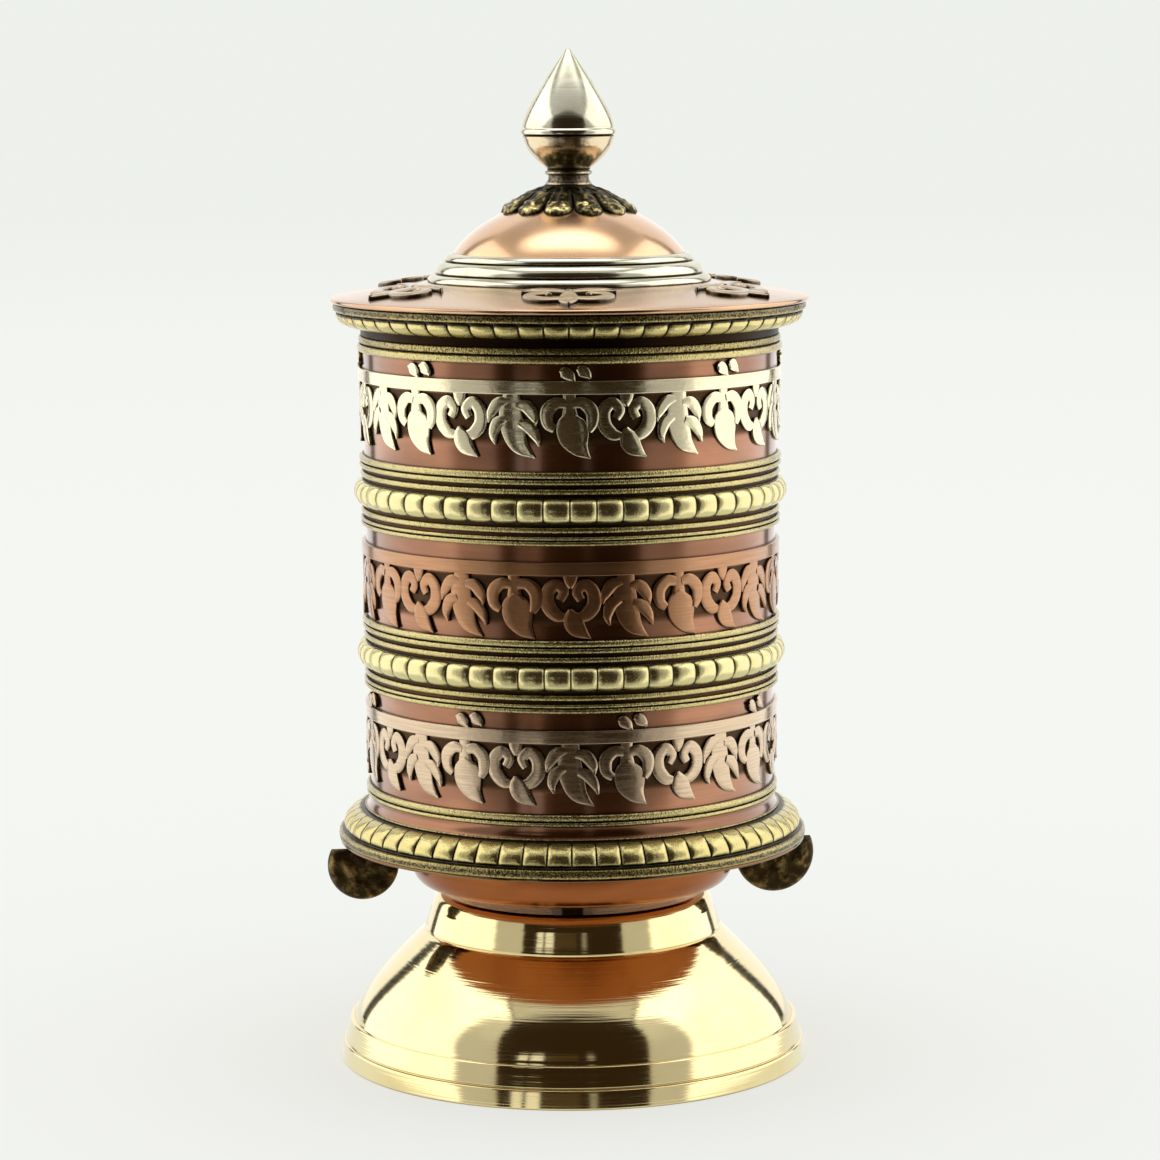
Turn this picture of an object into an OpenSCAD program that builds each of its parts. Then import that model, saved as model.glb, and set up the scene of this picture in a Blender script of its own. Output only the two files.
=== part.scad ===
// Tabletop prayer wheel: a drum that spins on a fixed spindle, with a lift-off lid over a scroll chamber.
// Origin on the resting face, on the wheel's axis; +Z runs up through the finial.

/* [Base] */
// Radius of the foot
base_r = 51.3; // [50:0.1:53]
// Thickness of the spun brass
bell_wall = 1.2; // [0.8:0.1:1.6]
// Radius of the spindle
spindle_r = 2.5; // [2:0.1:3]

/* [Drum] */
// Height of the dish's lowest face above the resting face
drum_z = 39.2; // [38.6:0.1:41]
// Outer radius of the drum wall at its foot
drum_foot_r = 44; // [43.6:0.1:44.2]
// Outer radius of the drum wall at its top edge
drum_top_r = 45; // [44.8:0.1:45.4]
// Thickness of the drum wall
drum_wall = 1; // [0.6:0.1:1.2]
// Outer radius of the flange under the drum
flange_r = 51.2; // [50.5:0.1:52]
// Radial clearance between the spindle and the bush it runs in
bush_gap = 0.05; // [0.02:0.01:0.08]

/* [Relief] */
// Ornaments in each of the three friezes, a multiple of three
motifs = 24; // [18:3:27]
// Height that the friezes stand off the wall
relief = 0.9; // [0.6:0.1:1.2]
// Lobes in each gadroon ring round the drum
ring_lobes = 52; // [44:2:60]
// Lobes in the gadroon rings of the flange and of the lid
flange_lobes = 60; // [52:2:66]
// Turning lugs under the flange
lugs = 2; // [2:1:4]
// Direction of the first lug at rest, in degrees from +X
lug_angle = 7; // [0:1:45]

/* [Lid] */
// Outer radius of the lid's rolled edge
lid_r = 51.9; // [51:0.1:53]
// Ornaments laid on the lid
emblems = 6; // [4:1:8]
// Petals of the cast collar under the finial
petals = 12; // [8:1:14]
// Radius of the threaded stud that holds the finial down
stud_r = 1.5; // [1.2:0.1:2]

/* [Hidden] */

$fn = 96;

// Heights of the stack, each worked out from the one below it
neck_top_z = drum_z - 2.6;
flange_z = drum_z + 9.2;
floor_z = drum_z + 17;
foot_ring_z = drum_z + 19.7;
lower_set_z = drum_z + 43.7;
upper_set_z = drum_z + 78.8;
lid_z = drum_z + 119.8;
collar_z = lid_z + 12.1;
finial_z = lid_z + 32;

// Inside the drum
tube_r = 4.5;
tube_bore_r = spindle_r + 0.8;
scroll_r = 34;
scroll_z = floor_z + 3.4;
scroll_h = 78;
cup_z = lid_z - 16;
tip_z = cup_z + 3.4;
dish_hole_r = 9;

// Lid
skirt_r = drum_top_r - drum_wall - 0.5;
lid_slope = 3.1 / 21.4;
lid_sheet = 0.8;
emblem_t = 0.9;

// Lugs, cut by hand: every second one is a little smaller
lug_r = 8.8;
lug_spare = 1;
lug_end = 53.9;
lug_z = drum_z + 4;
lug_top_z = drum_z + 7.6;
lug_t = 4.6;
rivet_r = 1.2;
rivet_places = [41, 48];
rivet_depth = 4;
plate_t = 0.7;

brass = "goldenrod";
antique_brass = "darkkhaki";
copper = "peru";
copper_dark = "sienna";
white_metal = "silver";
bronze = "saddlebrown";
steel = "slategray";

// ---------------------------------------------------------------- shared geometry

// Outer radius of the tapered drum wall at height z
function wall_r(z) = drum_foot_r + (drum_top_r - drum_foot_r) * (z - floor_z) / (lid_z - floor_z);

// Height of the lid's upper face at radius r
function lid_top(r) = collar_z - 0.75 - (r - 30.5) * lid_slope;

// Points of a cubic curve from a to d with handles b and c
function curve(a, b, c, d, n = 8) = [
    for (i = [0:n])
        let (t = i / n, s = 1 - t)
            s * s * s * a + 3 * s * s * t * b + 3 * s * t * t * c + t * t * t * d
];

// Half-round outline from height z0 to z1 that bulges from radius r to radius r + bulge
function bead(z0, z1, r, bulge, n = 8) = [
    for (i = [0:n])
        [r + bulge * sin(180 * i / n), (z0 + z1) / 2 - (z1 - z0) / 2 * cos(180 * i / n)]
];

// Shifts every point of a list
function shifted(points, by) = [for (p = points) p + by];

// The same points from last to first
function reversed(points) = [for (i = [len(points) - 1:-1:0]) points[i]];

module turned(profile) {
    rotate_extrude() polygon(profile);
}

// Ring that grips the drum wall between heights z0 and z1
module wall_ring(z0, z1, proud, bulge) {
    turned(concat(
        [[wall_r(z1), z1], [wall_r(z0), z0]],
        bead(z0, z1, wall_r((z0 + z1) / 2) + proud, bulge)
    ));
}

// Round lobes on a circle, joined by a solid disc, as an outline
module lobed_outline(lobes, r_out, disc_r) {
    lobe_r = r_out * sin(180 / lobes) * 1.04;
    circle(disc_r);
    for (i = [0:lobes - 1])
        rotate(i * 360 / lobes) translate([r_out - lobe_r, 0]) circle(lobe_r, $fn = 24);
}

// Ring cut into lobes: a turned section kept only inside the lobed outline
module gadroon(profile, lobes, r_out, disc_r, z0, z1) {
    intersection() {
        turned(profile);
        translate([0, 0, z0 - 1]) linear_extrude(z1 - z0 + 2) lobed_outline(lobes, r_out, disc_r);
    }
}

// ---------------------------------------------------------------- base

module base_bell() {
    shoulder = curve([base_r - 3.1, 8.8], [base_r - 4.8, 15], [40.4, 20.9], [32.9, 28.1]);
    outside = concat(
        [[base_r, 0], [base_r, 3.4], [base_r - 0.8, 4.1], [base_r - 1, 4.6], [base_r - 2.2, 8.8]],
        shoulder,
        [[32.4, 28.3], [32.4, 28.8]],
        curve([32.4, 29], [31.9, 31], [31.3, 32.6], [31, neck_top_z - 2.7]),
        curve([30.9, neck_top_z - 2.5], [30.5, neck_top_z - 1.5], [30.1, neck_top_z], [28, neck_top_z]),
        [[spindle_r, neck_top_z]]
    );
    inside = concat(
        [[spindle_r, neck_top_z - bell_wall], [27.6, neck_top_z - bell_wall], [29.3, 33.4], [31, 28]],
        reversed(shifted(shoulder, [-0.85 * bell_wall, -0.6 * bell_wall])),
        [[base_r - 2 - bell_wall, 5], [base_r - bell_wall, 2.7], [base_r - bell_wall, 0]]
    );
    color(brass) turned(concat(outside, inside));
}

// Turned wooden disc that closes the hollow base
module base_plate() {
    color("burlywood") translate([0, 0, 1.2]) cylinder(h = 1.5, r = base_r - bell_wall);
}

module felt_pad() {
    color("darkgreen") cylinder(h = 1.2, r = base_r - bell_wall);
}

module spindle() {
    color(steel) {
        translate([0, 0, neck_top_z - 12]) cylinder(h = tip_z - 3 - neck_top_z + 12, r = spindle_r);
        translate([0, 0, tip_z - 3]) cylinder(h = 3, r1 = spindle_r, r2 = 0.3);
    }
}

// Hexagonal nut round the spindle
module nut(z, h, across, bore_r) {
    translate([0, 0, z]) difference() {
        cylinder(h = h, d = across / cos(30), $fn = 6);
        translate([0, 0, -1]) cylinder(h = h + 2, r = bore_r);
    }
}

module spindle_nut() {
    color(steel) nut(neck_top_z - bell_wall - 5.2, 4, 8, spindle_r);
}

module spindle_washer() {
    color(steel) translate([0, 0, neck_top_z - bell_wall - 1.2]) difference() {
        cylinder(h = 1.2, r = 7);
        translate([0, 0, -1]) cylinder(h = 4, r = spindle_r);
    }
}

module spindle_lock_nut() {
    color(steel) nut(neck_top_z, 4, 8, spindle_r);
}

// ---------------------------------------------------------------- drum

module drum_shell() {
    color(copper) turned([
        [drum_foot_r, floor_z], [drum_top_r, lid_z],
        [drum_top_r - drum_wall, lid_z], [drum_foot_r - drum_wall, floor_z]
    ]);
}

module drum_floor() {
    color(brass) translate([0, 0, floor_z]) difference() {
        cylinder(h = 1.2, r = drum_foot_r - drum_wall);
        translate([0, 0, -1]) cylinder(h = 4, r = tube_r);
    }
}

// Spun dish that closes the drum from below, open in the middle round the spindle
module bottom_dish() {
    bowl = curve([36.3, flange_z], [36.3, drum_z + 4.6], [35, drum_z + 0.8], [33.2, drum_z]);
    color(copper) turned(concat(
        bowl,
        [[dish_hole_r, drum_z], [dish_hole_r, drum_z + 1]],
        reversed(shifted(bowl, [-1, 1])),
        [[35.6, flange_z]]
    ));
}

// Flat ring that the flange's trim sits on; its edge shows as a thin line
module flange_plate() {
    color(copper) difference() {
        translate([0, 0, flange_z]) cylinder(h = plate_t, r = flange_r - 0.3);
        translate([0, 0, flange_z - 1]) cylinder(h = 3, r = 35.6);
        rivet_shanks(flange_z - 1, flange_z + 2);
    }
}

module flange_band() {
    z = flange_z + plate_t;
    color(antique_brass) turned(concat(
        [[drum_foot_r, z + 2.3], [drum_foot_r, z]],
        bead(z, z + 2, flange_r - 0.4, 0.4),
        [[flange_r - 1.2, z + 2.3]]
    ));
}

module flange_gadroon() {
    z0 = flange_z + 3;
    z1 = floor_z;
    color(antique_brass) gadroon(
        concat([[drum_foot_r - drum_wall, z1], [drum_foot_r - drum_wall, z0]],
               curve([flange_r - 1.1, z0], [flange_r - 0.9, z0 + 2], [flange_r - 3.4, z0 + 4.4],
                     [flange_r - 5.8, z1])),
        flange_lobes, flange_r - 1, flange_r - 2, z0, z1);
}

// Copper cove that fills the corner between the flange and the drum's foot ring
module cove_ring() {
    color(copper) turned(concat(
        [[wall_r(foot_ring_z), foot_ring_z], [drum_foot_r, floor_z]],
        curve([drum_foot_r + 1.2, floor_z], [drum_foot_r + 0.5, floor_z + 0.8],
              [drum_foot_r + 0.4, floor_z + 1.8], [drum_foot_r + 0.6, foot_ring_z])
    ));
}

module foot_ring() {
    color(antique_brass) wall_ring(foot_ring_z, foot_ring_z + 2.6, 0.3, 0.7);
}

// Two wide rings, the outer pair of a set of trim
module wide_rings(z) {
    wall_ring(z, z + 2, 0.3, 0.7);
    wall_ring(z + 12.6, z + 15.4, 0.3, 0.8);
}

// Two fine rings beside the gadroon of a set
module fine_rings(z) {
    wall_ring(z + 2.6, z + 3.9, 0.2, 0.6);
    wall_ring(z + 10.6, z + 11.9, 0.2, 0.6);
}

// Half-round ring cut into lobes, the middle of a set
module ring_gadroon(z) {
    z0 = z + 4.6;
    z1 = z + 10;
    r = wall_r((z0 + z1) / 2);
    gadroon(
        concat([[wall_r(z1), z1], [wall_r(z0), z0]], bead(z0, z1, r + 0.2, 2.2)),
        ring_lobes, r + 2.4, r + 1.3, z0, z1);
}

module lower_wide_rings() {
    color(antique_brass) wide_rings(lower_set_z);
}

module lower_fine_rings() {
    color(antique_brass) fine_rings(lower_set_z);
}

module lower_gadroon() {
    color(antique_brass) ring_gadroon(lower_set_z);
}

module upper_wide_rings() {
    color(antique_brass) wide_rings(upper_set_z);
}

module upper_fine_rings() {
    color(antique_brass) fine_rings(upper_set_z);
}

module upper_gadroon() {
    color(antique_brass) ring_gadroon(upper_set_z);
}

module rim_ring() {
    color(antique_brass) wall_ring(lid_z - 3.4, lid_z, 0.3, 0.8);
}

// Lotus bud between two round sepals, its tip swept to one side
module bud_motif() {
    translate([-1.2, -4]) square([2.4, 4.5]);
    for (side = [-1, 1]) translate([side * 2.9, -4.4]) circle(2.3, $fn = 24);
    polygon([[-2.6, -6.2], [2.6, -6.2], [3.3, -9.2], [3.6, -12.9], [0.6, -11.4], [-1.8, -9.2]]);
}

// Pair of rings back to back over a drop
module lyre_motif() {
    for (side = [-1, 1]) difference() {
        translate([side * 2.7, -4.2]) circle(3, $fn = 32);
        translate([side * 2.7, -4.2]) circle(1.2, $fn = 24);
    }
    translate([-1.6, -1.6]) square([3.2, 2]);
    translate([-0.9, -9]) square([1.8, 5]);
    translate([0.8, -9.2]) circle(1.9, $fn = 24);
    polygon([[-0.6, -10.4], [2.6, -9.8], [3.4, -12.8]]);
}

// Leaf with stepped edges, its tip swept to one side
module leaf_motif() {
    polygon([
        [-2, 0.4], [2, 0.4], [2, -1.4], [4.4, -2.6], [3.4, -4.8], [5, -6.4], [4.2, -9], [4.6, -12.9],
        [1, -11.6], [-2, -9.4], [-3.2, -6.6], [-4.6, -5.4], [-3.2, -3.6], [-4.2, -1.8], [-2, -1.4]
    ]);
}

// Band of ornaments that hang from a rail; z is the rail's foot
module frieze(z, drops) {
    intersection() {
        turned([
            [wall_r(z - 14), z - 14], [wall_r(z - 14) + relief, z - 14],
            [wall_r(z + 6) + relief, z + 6], [wall_r(z + 6), z + 6]
        ]);
        union() {
            translate([0, 0, z]) cylinder(h = 2.8, r = drum_top_r + 5);
            for (i = [0:motifs - 1])
                rotate([0, 0, i * 360 / motifs]) translate([30, 0, z]) rotate([90, 0, 90])
                    linear_extrude(25) {
                        if (i % 3 == 0) bud_motif();
                        if (i % 3 == 1) lyre_motif();
                        if (i % 3 == 2) leaf_motif();
                        if (drops && i % 3 == 0) translate([0, 4.2]) circle(1.7, $fn = 24);
                    }
        }
    }
}

module frieze_top() {
    color(white_metal) frieze(lid_z - 9.6, true);
}

module frieze_middle() {
    color(copper_dark) frieze(upper_set_z - 6.2, false);
}

module frieze_bottom() {
    color("rosybrown") frieze(lower_set_z - 6.4, true);
}

// Brass tube that carries the scroll and hangs the drum on the spindle's tip
module core_tube() {
    color(brass) translate([0, 0, floor_z + 1.2]) difference() {
        cylinder(h = cup_z - floor_z - 1.2, r = tube_r);
        translate([0, 0, -1]) cylinder(h = cup_z - floor_z + 2, r = tube_bore_r);
    }
}

// Cap on the core tube, hollowed to a cone that sits over the spindle's tip
module pivot_cup() {
    color(bronze) turned([
        [tube_r, cup_z], [tube_r, cup_z + 5], [tube_r - 0.8, cup_z + 5.6], [0, cup_z + 5.6],
        [0, tip_z + 0.3], [0.4, tip_z + 0.1], [spindle_r + 0.12, tip_z - 2.95], [spindle_r + 0.12, cup_z]
    ]);
}

// Flanged bush in the drum floor that steadies the foot of the drum
module lower_bush() {
    color(bronze) turned([
        [spindle_r + bush_gap, floor_z - 4], [tube_r + 2, floor_z - 4], [tube_r + 2, floor_z],
        [tube_r, floor_z], [tube_r, floor_z + 1.2], [spindle_r + bush_gap, floor_z + 1.2]
    ]);
}

module prayer_scroll() {
    color("wheat") translate([0, 0, scroll_z]) difference() {
        cylinder(h = scroll_h, r = scroll_r);
        translate([0, 0, -1]) cylinder(h = scroll_h + 2, r = tube_r);
    }
}

// Silk bands tied round the scroll
module scroll_bands() {
    color("firebrick") for (level = [0.25, 0.75])
        translate([0, 0, scroll_z + scroll_h * level - 2]) difference() {
            cylinder(h = 4, r = scroll_r + 0.5);
            translate([0, 0, -1]) cylinder(h = 6, r = scroll_r);
        }
}

// One rivet shank for every place where a lug is pinned to the flange plate, between two heights
module rivet_shanks(z0, z1) {
    for (i = [0:lugs - 1], r = rivet_places)
        rotate([0, 0, lug_angle + i * 360 / lugs])
            translate([r, 0, z0]) cylinder(h = z1 - z0, r = rivet_r, $fn = 32);
}

// Half-round paddles that a finger pushes to turn the drum
module turning_lugs() {
    color(bronze) difference() {
        for (i = [0:lugs - 1])
            let (r = lug_r - lug_spare * (i % 2))
                rotate([0, 0, lug_angle + i * 360 / lugs]) intersection() {
                    translate([lug_end - r, lug_t / 2, lug_z]) rotate([90, 0, 0]) cylinder(h = lug_t, r = r);
                    translate([lug_end - 40, -10, lug_top_z - 30]) cube([50, 20, 30]);
                }
        rivet_shanks(lug_top_z - rivet_depth, lug_top_z + 1);
    }
}

module lug_rivets() {
    color(brass) rivet_shanks(lug_top_z - rivet_depth, flange_z + plate_t);
}

// ---------------------------------------------------------------- lid

// Sheet cone with a rolled edge; it runs flat under the collar to the stud
module lid_cone() {
    inner_r = 24;
    color(copper) turned(concat(
        [[stud_r, lid_top(inner_r)], [inner_r, lid_top(inner_r)]],
        reversed(bead(lid_top(lid_r) - 1.2, lid_top(lid_r) - 0.1, lid_r - 0.6, 0.6)),
        [[lid_r - 1.4, lid_top(lid_r - 1.4) - lid_sheet], [inner_r, lid_top(inner_r) - lid_sheet],
         [stud_r, lid_top(inner_r) - lid_sheet]]
    ));
}

// Collar that drops into the drum and rests on its edge
module lid_skirt() {
    seat_r = drum_top_r + 0.2;
    color(copper_dark) turned([
        [skirt_r - 1, lid_z - 9], [skirt_r, lid_z - 9], [skirt_r, lid_z], [seat_r, lid_z],
        [seat_r, lid_z + 1.8], [seat_r - 1, lid_z + 1.9], [seat_r - 1, lid_top(seat_r - 1) - lid_sheet],
        [skirt_r - 1, lid_top(skirt_r - 1) - lid_sheet]
    ]);
}

module lid_band() {
    seat_r = drum_top_r - 0.8;
    z = lid_z + 5.2;
    color(antique_brass) turned(concat(
        [[seat_r, z - 0.3]],
        [[lid_r - 1.6, z - 0.3]],
        bead(z + 0.1, z + 1.8, lid_r - 1.2, 0.4),
        [[lid_r - 1.6, z + 2.2], [seat_r, lid_top(seat_r) - lid_sheet]]
    ));
}

module lid_gadroon() {
    seat_r = drum_top_r - 0.8;
    z0 = lid_z + 1.9;
    z1 = lid_z + 4.9;
    color(antique_brass) gadroon(
        concat([[seat_r, z1], [seat_r, z0]],
               curve([lid_r - 4.9, z0], [lid_r - 3.2, z0 + 0.2], [lid_r - 1.3, z0 + 1.4], [lid_r - 1.4, z1])),
        flange_lobes, lid_r - 1.3, lid_r - 2.2, z0, z1);
}

// White-metal collar of three steps between the lid and the dome
module stepped_collar() {
    z = collar_z;
    color(white_metal) turned(concat(
        [[24, lid_top(24)]],
        bead(lid_top(29.8), z + 0.95, 29.8, 0.9),
        bead(z + 1.15, z + 3.65, 27.9, 1.2),
        bead(z + 3.8, z + 5.4, 26.1, 0.9),
        [[25.4, z + 5.5], [24, z + 5.5]]
    ));
}

module dome() {
    crown = curve([25.2, collar_z + 5.5], [22.5, collar_z + 9.1], [18.5, collar_z + 12.7],
                  [8, collar_z + 16.5]);
    color(copper) intersection() {
        turned(concat(
            [[24.2, collar_z + 5.5]],
            crown,
            [[stud_r, collar_z + 16.5], [stud_r, collar_z + 15.7]],
            reversed(shifted(crown, [-0.6, -0.7]))
        ));
        translate([0, 0, collar_z + 5.5]) cylinder(h = 20, r = 40);
    }
}

// Cast ring of drooping petals
module petal_collar() {
    color("olive") intersection() {
        turned(concat(
            [[stud_r, finial_z - 3.4], [stud_r, finial_z]],
            [[5.2, finial_z], [8.3, finial_z - 0.8]],
            curve([9.3, finial_z - 1.6], [12, finial_z - 2.9], [14.6, finial_z - 3.6], [14.9, finial_z - 6]),
            curve([14, finial_z - 5.6], [12.6, finial_z - 4.6], [10.5, finial_z - 3.8], [8, finial_z - 3.4])
        ));
        translate([0, 0, finial_z - 8]) linear_extrude(10) {
            circle(9.5);
            for (i = [0:petals - 1])
                rotate(i * 360 / petals) translate([11.5, 0]) circle(3.5, $fn = 24);
        }
    }
}

// Cloud-shaped ornaments laid flat on the lid
module lid_emblems() {
    color(bronze) intersection() {
        turned([
            [32, lid_top(32)], [lid_r - 2, lid_top(lid_r - 2)],
            [lid_r - 2, lid_top(lid_r - 2) + emblem_t], [32, lid_top(32) + emblem_t]
        ]);
        for (i = [0:emblems - 1])
            rotate([0, 0, -90 + i * 360 / emblems]) translate([41, 0, collar_z - 12])
                linear_extrude(24) {
                    square([5, 17], center = true);
                    circle(4.2, $fn = 32);
                    for (side = [-1, 1]) translate([1.5, side * 6.3]) circle(3, $fn = 24);
                    polygon([[-7.5, 0], [-3, -2.6], [-3, 2.6]]);
                }
    }
}

module finial_cup() {
    z = finial_z;
    color(bronze) turned(concat(
        [[stud_r, z], [5, z], [4.5, z + 0.6], [4.4, z + 2]],
        bead(z + 2.1, z + 2.9, 4.5, 0.6),
        curve([4.6, z + 3.3], [7.2, z + 4.6], [9.6, z + 7], [10.3, z + 10.3]),
        [[9.8, z + 10.7], [stud_r, z + 10.7]]
    ));
}

// Turned drop with a lip at its foot
module finial_drop() {
    z = finial_z + 10.7;
    color(white_metal) difference() {
        turned(concat(
            [[0, z], [10.2, z], [10.5, z + 0.3], [10.5, z + 1.1], [10.1, z + 1.5]],
            curve([10, z + 1.7], [9.5, z + 5], [6, z + 10.5], [0.4, z + 18.3]),
            [[0, z + 18.3]]
        ));
        translate([0, 0, z - 1]) cylinder(h = 7, r = stud_r, $fn = 32);
    }
}

module finial_stud() {
    bottom = lid_top(24) - 6;
    color(steel) translate([0, 0, bottom]) cylinder(h = finial_z + 16 - bottom, r = stud_r, $fn = 32);
}

module finial_washer() {
    color(steel) translate([0, 0, lid_top(24) - lid_sheet - 0.8]) difference() {
        cylinder(h = 0.8, r = 4.5);
        translate([0, 0, -1]) cylinder(h = 3, r = stud_r);
    }
}

module finial_nut() {
    color(steel) nut(lid_top(24) - lid_sheet - 3.2, 2.4, 5.5, stud_r);
}

base_bell();
base_plate();
felt_pad();
spindle();
spindle_nut();
spindle_washer();
spindle_lock_nut();
drum_shell();
drum_floor();
bottom_dish();
flange_plate();
flange_band();
flange_gadroon();
cove_ring();
foot_ring();
lower_wide_rings();
lower_fine_rings();
lower_gadroon();
upper_wide_rings();
upper_fine_rings();
upper_gadroon();
rim_ring();
frieze_top();
frieze_middle();
frieze_bottom();
core_tube();
pivot_cup();
lower_bush();
prayer_scroll();
scroll_bands();
turning_lugs();
lug_rivets();
lid_cone();
lid_skirt();
lid_band();
lid_gadroon();
stepped_collar();
dome();
petal_collar();
lid_emblems();
finial_cup();
finial_drop();
finial_stud();
finial_nut();
finial_washer();
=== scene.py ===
"""Looks of the tabletop prayer wheel: detailed turned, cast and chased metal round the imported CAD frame.

Lengths inside this script are millimetres until a mesh is made; MM turns them into Blender's metres.
"""

import math

import bmesh
import bpy
from mathutils import Matrix, Vector, noise


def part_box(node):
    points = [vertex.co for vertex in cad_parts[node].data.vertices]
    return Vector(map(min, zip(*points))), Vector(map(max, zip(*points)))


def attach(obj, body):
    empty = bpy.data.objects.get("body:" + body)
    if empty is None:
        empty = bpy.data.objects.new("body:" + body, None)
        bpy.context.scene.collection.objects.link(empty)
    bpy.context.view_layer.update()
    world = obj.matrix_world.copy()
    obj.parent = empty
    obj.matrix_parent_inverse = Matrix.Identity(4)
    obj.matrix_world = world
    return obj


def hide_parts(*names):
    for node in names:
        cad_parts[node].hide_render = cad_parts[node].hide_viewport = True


MM = 0.001
SEGMENTS = 288
CORNER = 0.12
BACKDROP = (0.85, 0.875, 0.835, 1.0)
# Paler table colour near the wheel: a painted pool of light.
TABLE_NEAR = (0.915, 0.93, 0.895, 1.0)
SOFT_LIGHT = (1.0, 1.0, 0.98, 1.0)
TENT = 230.0
TENT_TOP = 464.0
TABLE_FRONT = -98.0
TABLE_REACH = 8000.0
TABLE_FADE = (200.0, 5000.0)
CLOTH_WHITE = (1.0, 0.985, 0.95)
ROOM_GLOW = (1.0, 0.62, 0.25)
SIDE_LEVEL = 1.58
FLAP_LEVEL = 0.55
BACK_LEVEL = 1.1
TOP_LEVEL = 0.6
LAMP_LEVEL = 3.0
ROOM_LEVEL = 0.028
SEAM_LEVEL = 0.05
EDGE_LEVEL = 0.15
FOLD_MIDDLE_Z = 209.0
FOLD_Y = -101.0
FOLD_BEND = -0.002
LAMP_Y = -14.0
LAMP_HALF_X = 175.0
LAMP_HALF_Y = 86.0
OPENING_HALF = 149.0
OPENING_SPREAD = 0.26
OPENING_MOST = 236.0
SLITS = ((-106, 12, 0.9), (-73, 14, 0.9), (-20, 32, 0.07), (35, 7, 0.3))
LENS_MM = 120.3
SENSOR_MM = 36.0

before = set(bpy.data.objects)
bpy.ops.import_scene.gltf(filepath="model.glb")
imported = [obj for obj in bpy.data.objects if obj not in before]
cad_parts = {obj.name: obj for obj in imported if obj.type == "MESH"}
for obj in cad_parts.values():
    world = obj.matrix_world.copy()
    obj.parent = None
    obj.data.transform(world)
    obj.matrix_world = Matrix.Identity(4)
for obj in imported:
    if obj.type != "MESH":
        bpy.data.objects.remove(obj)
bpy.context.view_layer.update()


# ---------------------------------------------------------------- places, all from the frame

def low(node):
    """Lowest corner of a CAD node, in millimetres."""
    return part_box(node)[0] / MM


def high(node):
    """Highest corner of a CAD node, in millimetres."""
    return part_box(node)[1] / MM


FOOT_R = high("base_bell").x
RIM_Z = high("base_bell").z
DRUM_Z = low("bottom_dish").z
FLANGE_Z = low("flange_plate").z
FLANGE_R = high("flange_plate").x
FLOOR_Z = low("drum_shell").z
FOOT_RING_Z = low("foot_ring").z
LOWER_SET_Z = low("lower_wide_rings").z
UPPER_SET_Z = low("upper_wide_rings").z
LID_Z = high("drum_shell").z
LID_R = high("lid_cone").x
COLLAR_Z = LID_Z + 12.1
FINIAL_Z = low("finial_cup").z
TIP_Z = high("finial_drop").z
DROP_Z = low("finial_drop").z

WALL_TOP_R = high("drum_shell").x
WALL_FOOT_R = WALL_TOP_R - 1
WALL_T = 1
LID_SLOPE = 3.1 / 21.4
LID_SHEET = 0.8
RING_LOBES = 52
FLANGE_LOBES = 60
CELLS = 24
RAIL_H = 2.8
RELIEF = 0.9
STROKE = 1.3
STUD_HOLE_R = 1.5
LID_HOLE_R = 24.0
TUBE_R = 4.5
TUBE_BORE_R = 3.3
TOP_RAIL_Z = LID_Z - 9.6
MIDDLE_RAIL_Z = UPPER_SET_Z - 6.2
BOTTOM_RAIL_Z = LOWER_SET_Z - 6.4
PETALS = 12
PETAL_TURN = math.radians(20)
EMBLEMS = 6
EMBLEM_RING_R = 41.0
LUG_TURN = math.radians(7)
LUG_END = 53.9


def wall_r(z):
    """Outer radius of the tapered drum wall at height z."""
    return WALL_FOOT_R + (WALL_TOP_R - WALL_FOOT_R) * (z - FLOOR_Z) / (LID_Z - FLOOR_Z)


def lid_top(r):
    """Height of the lid's upper face at radius r."""
    return COLLAR_Z - 0.75 - (r - 30.5) * LID_SLOPE


# ---------------------------------------------------------------- outlines

def curve(a, b, c, d, steps=16):
    """Points of a cubic curve from a to d with handles b and c."""
    points = []
    for i in range(steps + 1):
        t = i / steps
        s = 1 - t
        weights = (s * s * s, 3 * s * s * t, 3 * s * t * t, t * t * t)
        points.append(tuple(sum(w * p[k] for w, p in zip(weights, (a, b, c, d))) for k in (0, 1)))
    return points


def bead(z0, z1, r, bulge, steps=12, power=1.0):
    """Half-round outline from height z0 to z1 that bulges out of radius r; a low power makes it boxier."""
    points = []
    for i in range(steps + 1):
        a = math.pi * i / steps
        points.append((r + bulge * math.sin(a) ** power, (z0 + z1) / 2 - (z1 - z0) / 2 * math.cos(a)))
    return points


def rounded(points, radius, steps=3):
    """The closed outline with each sharp corner cut back and rounded."""
    done = []
    for i, p in enumerate(points):
        p = Vector(p)
        before = Vector(points[i - 1]) - p
        after = Vector(points[(i + 1) % len(points)]) - p
        if before.length < 1e-6 or after.length < 1e-6:
            done.append(tuple(p))
            continue
        turn = math.pi - before.angle(after)
        cut = min(radius, before.length * 0.4, after.length * 0.4)
        if turn < math.radians(25) or p.x < 1e-6:
            done.append(tuple(p))
            continue
        start = p + before.normalized() * cut
        end = p + after.normalized() * cut
        for k in range(steps + 1):
            t = k / steps
            q = start * (1 - t) ** 2 + p * (2 * t * (1 - t)) + end * t * t
            done.append(tuple(q))
    return done


def moved(points, r, z):
    """The outline shifted by a radius and a height."""
    return [(r + dr, z + dz) for dr, dz in points]


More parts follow.
